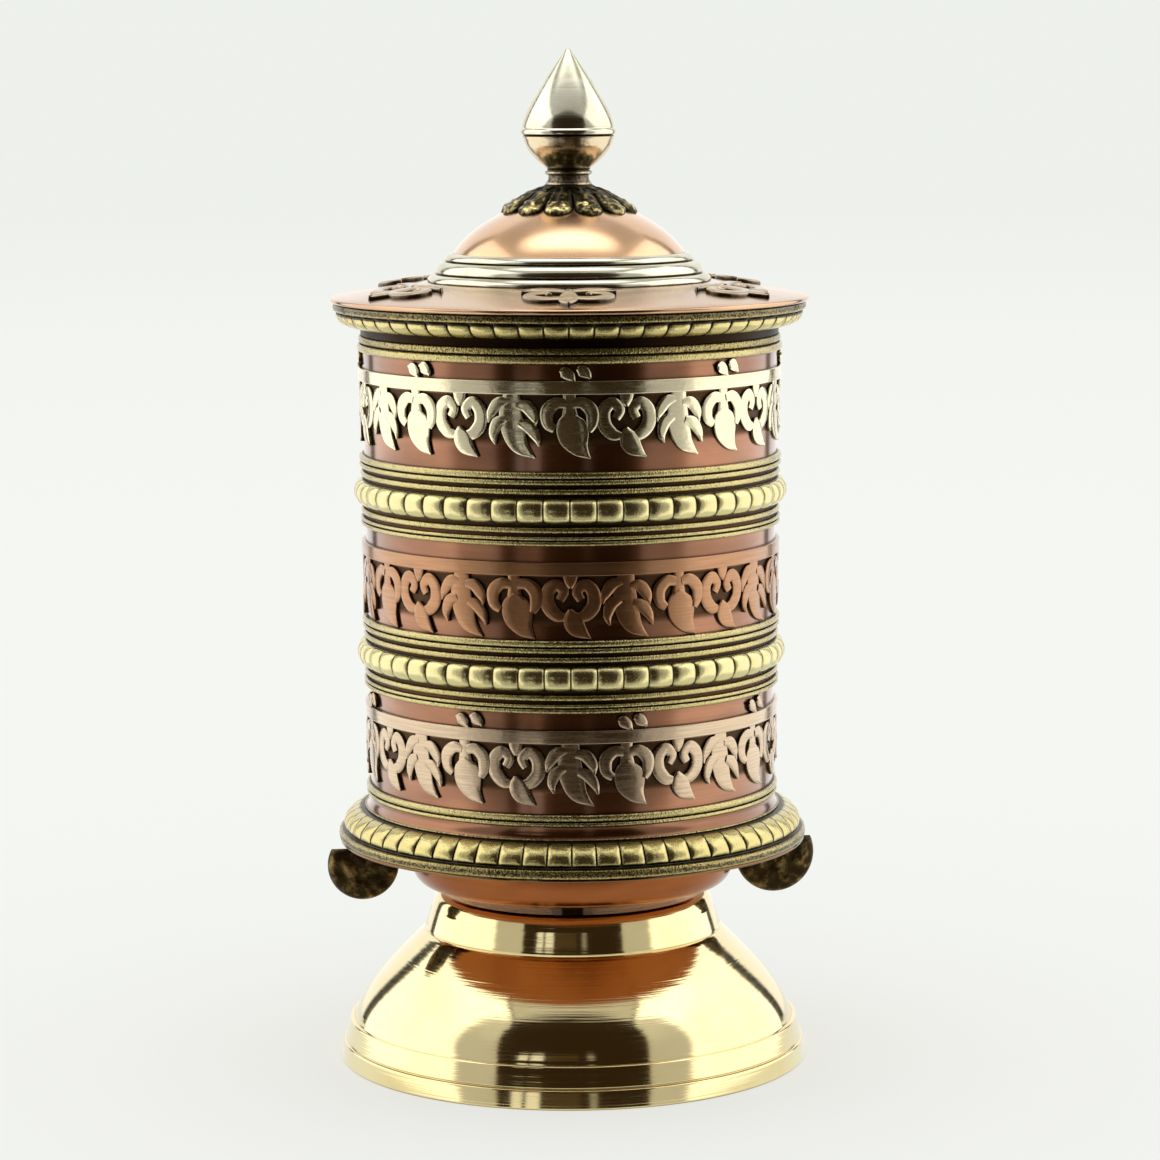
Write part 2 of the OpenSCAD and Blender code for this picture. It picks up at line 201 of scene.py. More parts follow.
def smooth_line(points, per=6):
    """A curve through every point, with any number of values to a point."""
    line = []
    last = len(points) - 1
    for i in range(last):
        p0 = points[max(i - 1, 0)]
        p1, p2 = points[i], points[i + 1]
        p3 = points[min(i + 2, last)]
        for k in range(per):
            t = k / per
            line.append(tuple(
                0.5 * (2 * b + (c - a) * t + (2 * a - 5 * b + 4 * c - d) * t * t
                       + (3 * b - a - 3 * c + d) * t ** 3)
                for a, b, c, d in zip(p0, p1, p2, p3)))
    line.append(tuple(points[-1]))
    return line


# ---------------------------------------------------------------- meshes

class Shape:
    """A mesh being built, with a 'relief' value on each point: 1 on high metal, 0 in a recess."""

    def __init__(self):
        self.bm = bmesh.new()
        self.relief = self.bm.verts.layers.float.new("relief")

    def vert(self, x, y, z, relief=1.0):
        v = self.bm.verts.new((x * MM, y * MM, z * MM))
        v[self.relief] = relief
        return v

    def polar(self, r, angle, z, relief=1.0):
        return self.vert(r * math.cos(angle), r * math.sin(angle), z, relief)

    def face(self, *verts):
        kept = []
        for v in verts:
            if v not in kept:
                kept.append(v)
        if len(kept) > 2:
            self.bm.faces.new(kept)

    def grid(self, rows, wrap_rows=False, wrap_columns=False):
        """Quads between rows of points, each row as long as the others."""
        count = len(rows)
        width = len(rows[0])
        for i in range(count if wrap_rows else count - 1):
            a, b = rows[i], rows[(i + 1) % count]
            for j in range(width if wrap_columns else width - 1):
                k = (j + 1) % width
                self.face(a[j], a[k], b[k], b[j])

    def turn(self, profile, relief=None, segments=SEGMENTS):
        """Spins a closed outline of (radius, height) round the axis."""
        lines = []
        for i in range(segments):
            a = 2 * math.pi * i / segments
            line = []
            for j, (r, z) in enumerate(profile):
                if r < 1e-6 and lines:
                    line.append(lines[0][j])
                else:
                    line.append(self.polar(r, a, z, relief(r, z) if relief else 1.0))
            lines.append(line)
        self.grid(lines, wrap_rows=True, wrap_columns=True)

    def done(self, name, body, material, slot, nodes=(), sharp=38.0):
        """Makes the object, shades it smooth with hard creases, ties it to its body and hides the CAD nodes
        that it stands for.
        """
        bmesh.ops.recalc_face_normals(self.bm, faces=self.bm.faces)
        for f in self.bm.faces:
            f.smooth = True
        limit = math.radians(sharp)
        for e in self.bm.edges:
            e.smooth = len(e.link_faces) == 2 and e.calc_face_angle(0) < limit
        mesh = bpy.data.meshes.new(name)
        self.bm.to_mesh(mesh)
        self.bm.free()
        obj = bpy.data.objects.new(name, mesh)
        bpy.context.scene.collection.objects.link(obj)
        obj.data.materials.append(material)
        weighted = obj.modifiers.new("weighted", "WEIGHTED_NORMAL")
        weighted.keep_sharp = True
        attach(obj, body)
        if nodes:
            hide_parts(*nodes)


def turned(name, body, material, slot, outline, nodes=(), corner=CORNER, relief=None, segments=SEGMENTS,
           sharp=38.0):
    """One piece spun from a closed outline, its corners rounded to the radius given."""
    shape = Shape()
    shape.turn(rounded(outline, corner) if corner else outline, relief, segments)
    shape.done(name, body, material, slot, nodes, sharp)


def lobed(name, body, material, node, crest, groove, inner, lobes, power=2.6, shaded_foot=0.0, shaded_top=0.0):
    """Ring of lobes: its outline swells from the groove line to the crest line and back, lobe by lobe.

    crest and groove run from bottom to top with as many points; inner closes the ring behind them.
    The last two arguments give the shares of the outline, at its two ends, that are darkened as painted
    shade.
    """
    shape = Shape()
    per = 16
    last = len(crest) - 1
    lines = []
    for lobe in range(lobes):
        for k in range(per):
            u = -math.cos(math.pi * k / per)
            w = (1 - abs(u) ** power) ** 0.55
            a = 2 * math.pi * (lobe + (u + 1) / 2) / lobes
            line = []
            for i, ((rc, zc), (rg, zg)) in enumerate(zip(crest, groove)):
                # Painted shade: the relief falls towards both ends of the outline, so they show dark.
                from_foot = (i / last + 0.05) / (shaded_foot + 0.05)
                from_top = (1.05 - i / last) / (shaded_top + 0.05)
                end_unshaded = min(1.0, from_foot, from_top)
                r = rg + (rc - rg) * w
                z = zg + (zc - zg) * w
                line.append(shape.polar(r, a, z, min(1.0, 1.5 * w) * end_unshaded))
            for r, z in inner:
                line.append(shape.polar(r, a, z, 0))
            lines.append(line)
    shape.grid(lines, wrap_rows=True, wrap_columns=True)
    shape.done(name, body, material, "antique_brass", [node], sharp=60)


def ribbon(shape, spine, place, height, edge=0.32, crown=0.1, lift=0.0):
    """A raised stroke along a spine of (x, y, half width), set on a surface by place(x, y, height)."""
    rows = []
    count = len(spine)
    for i, (x, y, half) in enumerate(spine):
        x0, y0, _ = spine[max(i - 1, 0)]
        x1, y1, _ = spine[min(i + 1, count - 1)]
        length = math.hypot(x1 - x0, y1 - y0) or 1
        nx, ny = -(y1 - y0) / length, (x1 - x0) / length
        chamfer = min(edge, half * 0.7)
        top = height + lift
        right = [(half * 0.4, top + crown * 0.8, 1), (half - chamfer, top, 1),
                 (half - chamfer * 0.35, top - chamfer * 0.3, 0.8), (half, top - chamfer, 0.35),
                 (half, -0.3, 0)]
        section = [(-across, h, relief) for across, h, relief in reversed(right)] + right
        rows.append([shape.vert(*place(x + nx * across, y + ny * across, h), relief)
                     for across, h, relief in section])
    shape.grid(rows, wrap_columns=True)
    shape.bm.faces.new(rows[0])
    shape.bm.faces.new(reversed(rows[-1]))


# ---------------------------------------------------------------- materials

class Look:
    """A metal or cloth material made of nodes, with lengths in millimetres."""

    def __init__(self, name, roughness, metallic=1.0):
        self.material = bpy.data.materials.new(name)
        self.material.use_nodes = True
        self.tree = self.material.node_tree
        self.shader = self.tree.nodes["Principled BSDF"]
        self.shader.inputs["Roughness"].default_value = roughness
        self.shader.inputs["Metallic"].default_value = metallic
        coordinates = self.node("ShaderNodeTexCoord").outputs["Object"]
        self.place = self.vector("SCALE", coordinates, scale=1 / MM)
        parts = self.node("ShaderNodeSeparateXYZ", Vector=self.place)
        self.z = parts.outputs["Z"]
        flat = self.vector("MULTIPLY", self.place, (1, 1, 0))
        self.r = self.vector("LENGTH", flat)
        self.bumps = None

    def node(self, kind, props=None, **inputs):
        n = self.tree.nodes.new(kind)
        for key, value in (props or {}).items():
            setattr(n, key, value)
        for key, value in inputs.items():
            self.feed(n.inputs[key.replace("_", " ")], value)
        return n

    def feed(self, socket, value):
        """Links an output to a socket, or sets its number or colour; a colour may leave out its alpha."""
        if isinstance(value, bpy.types.NodeSocket):
            self.tree.links.new(value, socket)
        elif socket.type == "RGBA" and len(value) == 3:
            socket.default_value = (*value, 1.0)
        else:
            socket.default_value = value

    def vector(self, operation, a, b=None, scale=None):
        n = self.node("ShaderNodeVectorMath", {"operation": operation})
        self.feed(n.inputs[0], a)
        if b is not None:
            self.feed(n.inputs[1], b)
        if scale is not None:
            self.feed(n.inputs["Scale"], scale)
        return n.outputs["Value" if operation == "LENGTH" else "Vector"]

    def math(self, operation, a, b=None):
        n = self.node("ShaderNodeMath", {"operation": operation})
        self.feed(n.inputs[0], a)
        if b is not None:
            self.feed(n.inputs[1], b)
        return n.outputs[0]

    def times(self, a, b):
        return self.math("MULTIPLY", a, b)

    def minus(self, a, b):
        return self.math("SUBTRACT", a, b)

    def ramp(self, value, lo, hi, to_lo=0.0, to_hi=1.0):
        n = self.node("ShaderNodeMapRange", {"interpolation_type": "SMOOTHSTEP"})
        for key, v in (("Value", value), ("From Min", lo), ("From Max", hi), ("To Min", to_lo),
                       ("To Max", to_hi)):
            self.feed(n.inputs[key], v)
        return n.outputs["Result"]

    def mix(self, factor, a, b):
        n = self.node("ShaderNodeMix", {"data_type": "RGBA"})
        self.feed(n.inputs["Factor"], factor)
        self.feed(n.inputs[6], a)
        self.feed(n.inputs[7], b)
        return n.outputs[2]

    def noise(self, size, detail=3.0, stretch=None, rough=0.5):
        """Noise whose features are about size millimetres; stretch makes it longer along an axis."""
        where = self.place if stretch is None else self.vector("MULTIPLY", self.place, stretch)
        return self.node("ShaderNodeTexNoise", Vector=where, Scale=1 / size, Detail=detail,
                         Roughness=rough).outputs["Fac"]

    def turned_lines(self, size, detail=2.0):
        """Fine rings as a lathe tool leaves them, size millimetres apart on any slope."""
        wander = self.times(self.noise(30.0, 1.0), 0.4)
        across = self.node("ShaderNodeCombineXYZ", X=self.r, Y=self.z, Z=wander)
        return self.node("ShaderNodeTexNoise", Vector=across.outputs[0], Scale=1 / size,
                         Detail=detail).outputs["Fac"]

    def stipple(self, size):
        """Small punched pits."""
        return self.node("ShaderNodeTexVoronoi", {"feature": "F1"}, Vector=self.place,
                         Scale=1 / size).outputs["Distance"]

    def attribute(self, name):
        return self.node("ShaderNodeAttribute", {"attribute_name": name}).outputs["Fac"]

    def corner_shade_and_patina(self, reach):
        """Ambient occlusion used as painted shade, which also stands for patina: 1 in the open and 0 deep
        in a corner.
        """
        n = self.node("ShaderNodeAmbientOcclusion", {"samples": 6})
        n.inputs["Distance"].default_value = reach * MM
        return n.outputs["AO"]

    def colour(self, value):
        self.feed(self.shader.inputs["Base Color"], value)

    def roughness(self, value):
        self.feed(self.shader.inputs["Roughness"], value)

    def lacquer(self, weight):
        """Thin clear coat over the metal, which whitens its highlights."""
        self.shader.inputs["Coat Weight"].default_value = weight
        self.shader.inputs["Coat Roughness"].default_value = 0.12
        return self

    def brushed_round(self, amount):
        """Reflections smear up and down, across the rings that the lathe leaves."""
        tangent = self.node("ShaderNodeTangent", {"direction_type": "RADIAL", "axis": "Z"})
        self.feed(self.shader.inputs["Tangent"], tangent.outputs[0])
        self.shader.inputs["Anisotropic"].default_value = amount
        self.shader.inputs["Anisotropic Rotation"].default_value = 0.25
        return self

    def bump(self, height, depth):
        """Adds a bump layer, depth in millimetres."""
        n = self.node("ShaderNodeBump", Strength=1.0, Distance=depth * MM, Height=height)
        if self.bumps is not None:
            self.feed(n.inputs["Normal"], self.bumps)
        self.bumps = n.outputs[0]
        self.feed(self.shader.inputs["Normal"], self.bumps)


def shaded(colour, share):
    return tuple(share * c for c in colour)


def polished_brass():
    look = Look("polished_brass", 0.08).lacquer(0.6)
    lines = look.turned_lines(0.22)
    cloud = look.noise(14.0, 4.0)
    bright = look.mix(look.ramp(cloud, 0.3, 0.75), (0.91, 0.78, 0.42), (0.86, 0.70, 0.34))
    # Dark brown in grooves and corners from the occlusion term: tarnish there, and painted shade.
    wear_and_shade = look.mix(look.ramp(look.corner_shade_and_patina(0.8), 0.35, 0.8), (0.30, 0.18, 0.05), bright)
    look.colour(wear_and_shade)
    look.roughness(look.ramp(lines, 0.35, 0.8, 0.06, 0.15))
    look.bump(lines, 0.008)
    look.bump(look.turned_lines(0.6), 0.022)
    look.bump(look.noise(6.0, 2.0), 0.012)
    return look.material


def antique_brass(name, light, dark, pits, pit_depth, reach=1.3, lo=0.25, hi=0.85, gloss=0.3, speckle=0.35,
                  worn_from=0.1):
    """Brass with dark patina in its recesses, rubbed bright where it stands proud, and painted shade in its
    corners.
    """
    look = Look(name, gloss).lacquer(0.4)
    high_metal = look.ramp(look.attribute("relief"), worn_from, 0.95)
    shade_mask = look.corner_shade_and_patina(reach)
    grain = look.noise(0.5, 4.0, rough=0.65)
    punched = look.stipple(pits)
    # Dark where the relief is low (patina), in corners from the occlusion term (painted shade), and in
    # grain and punched pits.
    wear_and_shade = look.times(high_metal, look.ramp(shade_mask, lo, hi))
    wear_and_shade = look.minus(wear_and_shade, look.ramp(grain, 0.45, 0.75, 0.0, speckle))
    wear_and_shade = look.minus(wear_and_shade, look.ramp(punched, 0.55, 0.15, 0.0, pit_depth * 5))
    tone = look.mix(look.noise(9.0), light, shaded(light, 0.82))
    look.colour(look.mix(look.ramp(wear_and_shade, 0.0, 0.85), dark, tone))
    look.roughness(look.ramp(wear_and_shade, 0.0, 0.9, gloss + 0.3, gloss))
    look.bump(punched, pit_depth)
    look.bump(look.turned_lines(0.3), 0.008)
    look.bump(grain, 0.02)
    return look.material


def antique_copper(name, light, dark, gloss=0.27, bands=(), edge=None, coat=0.9):
    """Copper sheet with drawn lines round it.

    bands are the stretches of height that carry dark patina; edge is a radius past which it turns dark
    brown.
    """
    look = Look(name, gloss).brushed_round(0.75).lacquer(coat)
    lines = look.turned_lines(0.35, 3.0)
    cloud = look.noise(16.0, 4.0, stretch=(0.5, 0.5, 1.6))
    tone = look.mix(look.ramp(cloud, 0.3, 0.72), light, dark)
    tone = look.mix(look.ramp(lines, 0.35, 0.9, 0.0, 0.4), tone, dark)
    if edge:
        tone = look.mix(look.ramp(look.r, edge - 0.3, edge - 0.1), tone, (0.22, 0.12, 0.05))
    # The occlusion term adds painted shade in corners to the patina.
    patina = look.ramp(look.corner_shade_and_patina(1.6), 0.75, 0.25)
    for z0, z1 in bands:
        above_foot = look.ramp(look.z, z0 - 0.5, z0 + 1.5)
        inside = look.times(above_foot, look.ramp(look.z, z1 + 0.4, z1 - 0.4))
        patina = look.math("MAXIMUM", patina, look.times(inside, 0.85))
    grain = look.noise(0.4, 3.0, rough=0.7)
    patina = look.times(patina, look.ramp(grain, 0.2, 0.5, 0.75, 1.0))
    look.colour(look.mix(patina, tone, (0.045, 0.03, 0.014)))
    look.roughness(look.ramp(patina, 0.0, 1.0, gloss, 0.6))
    look.feed(look.shader.inputs["Coat Weight"], look.ramp(patina, 0.1, 0.6, coat, 0.05))
    look.bump(lines, 0.006)
    look.bump(look.times(grain, patina), 0.08)
    return look.material


def relief_metal(name, light, dark, gloss):
    """Chased and burnished metal of a frieze, dark down its sides and in its corners, with patina and
    painted shade.
    """
    look = Look(name, gloss).brushed_round(0.75).lacquer(0.7)
    high_metal = look.attribute("relief")
    brushed = look.noise(1.2, 3.0, stretch=(0.12, 0.12, 3.0))
    edge = look.ramp(high_metal, 0.1, 0.85)
    cavity_shade = look.ramp(look.corner_shade_and_patina(0.8), 0.2, 0.7)
    tone = look.mix(look.ramp(brushed, 0.3, 0.75, 0.0, 0.5), light, shaded(light, 0.72))
    look.colour(look.mix(look.times(edge, cavity_shade), dark, tone))
    look.roughness(look.ramp(brushed, 0.3, 0.8, gloss, gloss + 0.14))
    look.bump(brushed, 0.012)
    look.bump(look.noise(2.5, 2.0), 0.05)
    return look.material


def cast_bronze(name, light, dark, lump, depth, gloss=0.35):
    """Rough casting with bright high points."""
    look = Look(name, gloss)
    lumps = look.noise(lump, 4.0, rough=0.6)
    high_metal = look.attribute("relief")
    rubbed = look.times(look.ramp(lumps, 0.42, 0.68), look.ramp(high_metal, 0.2, 0.9))
    # The occlusion term darkens corners too: painted shade.
    rubbed = look.times(rubbed, look.ramp(look.corner_shade_and_patina(1.0), 0.3, 0.9))
    look.colour(look.mix(rubbed, dark, light))
    look.roughness(look.ramp(rubbed, 0.0, 1.0, gloss + 0.2, gloss))
    look.bump(lumps, depth)
    look.bump(look.noise(lump * 0.25, 3.0), depth * 0.3)
    return look.material


def white_metal():
    look = Look("white_metal", 0.16)
    lines = look.turned_lines(0.25)
    shade_mask = look.ramp(look.corner_shade_and_patina(1.0), 0.3, 0.85)
    spots = look.ramp(look.noise(0.7, 5.0, rough=0.75), 0.56, 0.72)
    bright = look.mix(look.ramp(look.noise(8.0), 0.3, 0.7), (0.74, 0.72, 0.58), (0.60, 0.58, 0.44))
    bright = look.mix(look.times(spots, 0.5), bright, (0.33, 0.30, 0.18))
    # Near-black in corners from the occlusion term: painted shade.
    look.colour(look.mix(shade_mask, (0.10, 0.08, 0.03), bright))
    look.roughness(look.ramp(lines, 0.3, 0.8, 0.12, 0.26))
    look.bump(lines, 0.005)
    return look.material


def steel():
    look = Look("steel", 0.3)
    lines = look.turned_lines(0.2)
    look.colour(look.mix(lines, (0.42, 0.42, 0.43), (0.60, 0.60, 0.61)))
    look.roughness(look.ramp(lines, 0.2, 0.8, 0.22, 0.4))
    look.bump(lines, 0.006)
    return look.material


def paper():
    look = Look("paper", 0.9, metallic=0.0)
    fibres = look.noise(1.4, 6.0, rough=0.7)
    stains = look.noise(18.0, 3.0)
    tone = look.mix(look.ramp(fibres, 0.35, 0.7), (0.80, 0.70, 0.48), (0.68, 0.56, 0.34))
    look.colour(look.mix(look.ramp(stains, 0.5, 0.8, 0.0, 0.5), tone, (0.55, 0.42, 0.24)))
    look.bump(fibres, 0.06)
    return look.material


def fibrous(name, roughness, low, high, depth, sheen=0.0, **fibre):
    """Cloth or wood in two tones along its fibres; fibre holds the settings of their noise."""
    look = Look(name, roughness, metallic=0.0)
    look.shader.inputs["Sheen Weight"].default_value = sheen
    fibres = look.noise(**fibre)
    look.colour(look.mix(fibres, low, high))
    look.bump(fibres, depth)
    return look.material


FRIEZE_GROUNDS = [(z - 10.5, z - 0.2) for z in (TOP_RAIL_Z, MIDDLE_RAIL_Z, BOTTOM_RAIL_Z)]
SET_GROUNDS = [(z + 1.5, z + 14.0) for z in (LOWER_SET_Z, UPPER_SET_Z)]

POLISHED = polished_brass()
RING_BRASS = antique_brass("ring_brass", (0.58, 0.49, 0.21), (0.03, 0.018, 0.005), 0.32, 0.07,
                           reach=1.0, lo=0.3, hi=0.85, gloss=0.22, speckle=0.65)
BAND_BRASS = antique_brass("band_brass", (0.45, 0.36, 0.13), (0.025, 0.016, 0.005), 0.42, 0.1,
                           reach=1.8, lo=0.4, hi=0.95, gloss=0.24, speckle=0.8)
LOBE_BRASS = antique_brass("lobe_brass", (0.67, 0.57, 0.23), (0.035, 0.024, 0.007), 0.8, 0.03,
                           reach=1.4, lo=0.35, hi=0.95, gloss=0.27, speckle=0.45, worn_from=0.35)
BEAD_BRASS = antique_brass("bead_brass", (0.74, 0.66, 0.32), (0.07, 0.05, 0.015), 0.8, 0.02,
                           reach=1.0, lo=0.15, hi=0.7, gloss=0.26, speckle=0.35, worn_from=0.0)
INNER_BRASS = antique_brass("inner_brass", (0.66, 0.53, 0.26), (0.16, 0.11, 0.04), 1.5, 0.02)
WALL_COPPER = antique_copper("wall_copper", (0.38, 0.16, 0.075), (0.20, 0.078, 0.03), gloss=0.25,
                             bands=FRIEZE_GROUNDS + SET_GROUNDS)
LID_COPPER = antique_copper("lid_copper", (0.66, 0.43, 0.26), (0.50, 0.30, 0.17), gloss=0.2, coat=0.3)
DOME_COPPER = antique_copper("dome_copper", (0.84, 0.54, 0.31), (0.68, 0.39, 0.20), gloss=0.2)
# Darker than the other copper and barely lacquered: partly painted shade under the flange, whose disc
# shares it.
DISH_COPPER = antique_copper("dish_copper", (0.37, 0.12, 0.034), (0.25, 0.07, 0.017), gloss=0.17,
                             edge=FLANGE_R, coat=0.1)
# Near-black copper for the lid's neck and seat, in the gap under the lid: painted shade.
PAINTED_SHADE_COPPER = antique_copper("painted_shade_copper", (0.03, 0.014, 0.006), (0.015, 0.007, 0.003), gloss=0.5,
                             coat=0.0)
TOP_METAL = relief_metal("top_relief", (0.82, 0.74, 0.50), (0.045, 0.03, 0.01), 0.18)
MIDDLE_METAL = relief_metal("middle_relief", (0.42, 0.21, 0.095), (0.05, 0.022, 0.008), 0.3)
BOTTOM_METAL = relief_metal("bottom_relief", (0.54, 0.41, 0.27), (0.05, 0.03, 0.012), 0.22)
WHITE_METAL = white_metal()
PETAL_BRONZE = cast_bronze("petal_bronze", (0.80, 0.66, 0.30), (0.025, 0.02, 0.008), 1.6, 0.1, 0.24)
LUG_BRONZE = cast_bronze("lug_bronze", (0.25, 0.165, 0.06), (0.04, 0.026, 0.01), 2.2, 0.3, 0.36)
# Its long occlusion reach spreads painted shade further from the cup's corners.
CUP_BRONZE = antique_brass("cup_bronze", (0.64, 0.54, 0.36), (0.035, 0.022, 0.007), 1.1, 0.02,
                           reach=4.5, lo=0.3, hi=0.85, gloss=0.16)
EMBLEM_BRONZE = relief_metal("emblem_bronze", (0.50, 0.38, 0.24), (0.03, 0.018, 0.008), 0.3)
STEEL = steel()
PAPER = paper()
SILK = fibrous("silk", 0.45, (0.48, 0.05, 0.04), (0.66, 0.12, 0.07), 0.05, sheen=0.4,
               size=0.35, detail=2.0, stretch=(0.4, 0.4, 3.0))


# ---------------------------------------------------------------- base

def base_bell():
    shoulder = curve((FOOT_R - 3.1, 8.75), (FOOT_R - 4.8, 15), (40.4, 20.9), (32.9, 28.1), 32)
    wall = 1.2
    outside = moved([(-0.15, 0), (0, 0.3), (-0.55, 3.7), (-0.75, 4.0), (-1.2, 4.12), (-1.3, 4.3),
                     (-1.05, 4.5), (-2.1, 8.6), (-2.35, 8.85), (-2.95, 8.8)], FOOT_R, 0)
    outside += shoulder
    outside += [(32.35, 28.3), (32.4, 28.65), (32.5, 28.85)]
    outside += curve((32.4, 29), (31.9, 31), (31.4, 32.2), (31.1, RIM_Z - 3.2), 12)
    outside += curve((31.0, RIM_Z - 3.0), (30.6, RIM_Z - 2.1), (30.2, RIM_Z), (28.2, RIM_Z), 16)
    outside += [(2.5, RIM_Z)]
    inside = [(2.5, RIM_Z - wall), (27.6, RIM_Z - wall), (29.3, RIM_Z - 3.8), (31, 28)]
    inside += [(r - 0.85 * wall, z - 0.6 * wall) for r, z in reversed(shoulder)]
    inside += [(FOOT_R - 2 - wall, 5), (FOOT_R - wall, 2.7), (FOOT_R - wall, 0)]
    turned("brass_bell", "base", POLISHED, "polished_brass", outside + inside, ["base_bell"], segments=384)


# ---------------------------------------------------------------- drum

def drum_wall():
    inner_top = WALL_TOP_R - WALL_T
    inner_foot = WALL_FOOT_R - WALL_T
    steps = 40
    heights = [FLOOR_Z + (LID_Z - FLOOR_Z) * i / steps for i in range(steps + 1)]
    profile = [(wall_r(z), z) for z in heights] + [(inner_top, LID_Z), (inner_foot, FLOOR_Z)]
    turned("copper_drum", "drum", WALL_COPPER, "antique_copper", profile, ["drum_shell"], corner=0)


def ring_relief(z):
    """Relief value from how far a point stands off the drum wall."""
    base = wall_r(z)
    return lambda r, _: max(0.0, min(1.0, (r - base) / 0.7))


def trim_rings(name, nodes, outlines):
    """Rings round the drum wall, each from an outline of its outer face."""
    shape = Shape()
    for outline in outlines:
        z0, z1 = outline[0][1], outline[-1][1]
        closed = outline + [(wall_r(z1) - 0.05, z1), (wall_r(z0) - 0.05, z0)]
        shape.turn(rounded(closed, CORNER), ring_relief((z0 + z1) / 2))
    shape.done(name, "drum", RING_BRASS, "antique_brass", nodes)


def two_ridges(z0, z1, proud, split=0.45):
    """Outline of a wide ring: two ridges with a fine groove between them."""
    z = z0 + (z1 - z0) * split
    r = wall_r((z0 + z1) / 2)
    lower = bead(z0, z - 0.06, r + 0.25, proud - 0.3, 8, 0.6)
    return lower + bead(z + 0.06, z1, r + 0.25, proud - 0.25, 8, 0.6)


def one_ridge(z0, z1, proud):
    return bead(z0, z1, wall_r((z0 + z1) / 2) + 0.1, proud - 0.1, 10, 0.7)


def ring_set(name, z):
    """A set of trim round the drum: gadroon between fine rings between wide rings."""
    trim_rings(name + "_wide_trim", [name + "_wide_rings"],
               [two_ridges(z, z + 2, 1.0, 0.55), two_ridges(z + 12.6, z + 15.4, 1.1)])
    trim_rings(name + "_fine_trim", [name + "_fine_rings"],
               [one_ridge(z + 2.6, z + 3.9, 0.85), one_ridge(z + 10.6, z + 11.9, 0.85)])
    z0 = z + 4.55
    z1 = z + 10
    r = wall_r((z0 + z1) / 2)
    steps = 18
    crest = bead(z0 + 0.1, z1 - 0.1, r + 0.35, 2.0, steps, 0.95)
    groove = bead(z0 + 0.5, z1 - 0.5, r + 0.3, 1.3, steps, 0.95)
    inner = [(r - 0.1, z1 - 0.2), (r - 0.1, z0 + 0.2)]
    lobed(name + "_bead_ring", "drum", BEAD_BRASS, name + "_gadroon", crest, groove, inner, RING_LOBES)
    seat = [(r + 0.55, z0), (r + 0.55, z0 + 0.5), (r, z0 + 0.6), (r, z1 - 0.6),
            (r + 0.55, z1 - 0.5), (r + 0.55, z1), (r - 0.1, z1), (r - 0.1, z0)]
    turned(name + "_bead_seat", "drum", RING_BRASS, "antique_brass", seat, relief=lambda radius, _: 0.35)


def band_relief(depth, off_middle):
    """How rubbed a stippled band is: dark along its middle and in its corner, bright at its two edges."""
    proud = max(0.0, min(1.0, depth / 0.8))
    return proud * (0.5 + 0.5 * min(1.0, (off_middle / 0.6) ** 4))


def flange():
    r = FLANGE_R + 0.3
    z = FLANGE_Z
    plate = [(35.6, z), (FLANGE_R, z), (FLANGE_R, z + 0.7), (35.6, z + 0.7)]
    turned("flange_disc", "drum", DISH_COPPER, "bright_copper", plate, ["flange_plate"], corner=0.3)
    outline = [(WALL_FOOT_R, z + 0.7)] + bead(z + 0.7, z + 2.55, r - 0.55, 0.5, 12, 0.5)
    outline += [(r - 1.3, z + 2.75), (r - 1.5, z + 3.0), (WALL_FOOT_R, z + 3.0)]
    turned("flange_rim", "drum", BAND_BRASS, "antique_brass", outline, ["flange_band"], corner=0.1,
           relief=lambda radius, h: band_relief(radius - r + 1.2, h - z - 1.6))
    z0 = z + 3.0
    steps = 20
    crest = curve((r - 1.5, z0), (r - 0.3, z0 + 1.6), (r - 2.6, z0 + 4.1), (r - 5.6, FLOOR_Z - 0.25), steps)
    groove = []
    for i, (rc, zc) in enumerate(crest):
        t = i / steps
        depth = 0.75 * math.sin(math.pi * min(1.0, t * 1.35)) ** 0.6 if t < 0.74 else 0.0
        groove.append((rc - depth * 0.8, zc - depth * 0.6))
    inner = [(WALL_FOOT_R - 0.9, FLOOR_Z - 0.25), (WALL_FOOT_R - 0.9, z0)]
    lobed("flange_beads", "drum", LOBE_BRASS, "flange_gadroon", crest, groove, inner, FLANGE_LOBES,
          power=3.2, shaded_foot=0.12, shaded_top=0.2)
    lip_r = WALL_FOOT_R + 1.3
    lip = [(WALL_FOOT_R, FLOOR_Z - 0.3), (lip_r, FLOOR_Z - 0.3), (lip_r + 0.15, FLOOR_Z),
           (lip_r, FLOOR_Z + 0.25), (WALL_FOOT_R, FLOOR_Z + 0.25)]
    turned("flange_lip", "drum", BAND_BRASS, "antique_brass", lip, corner=0.15)


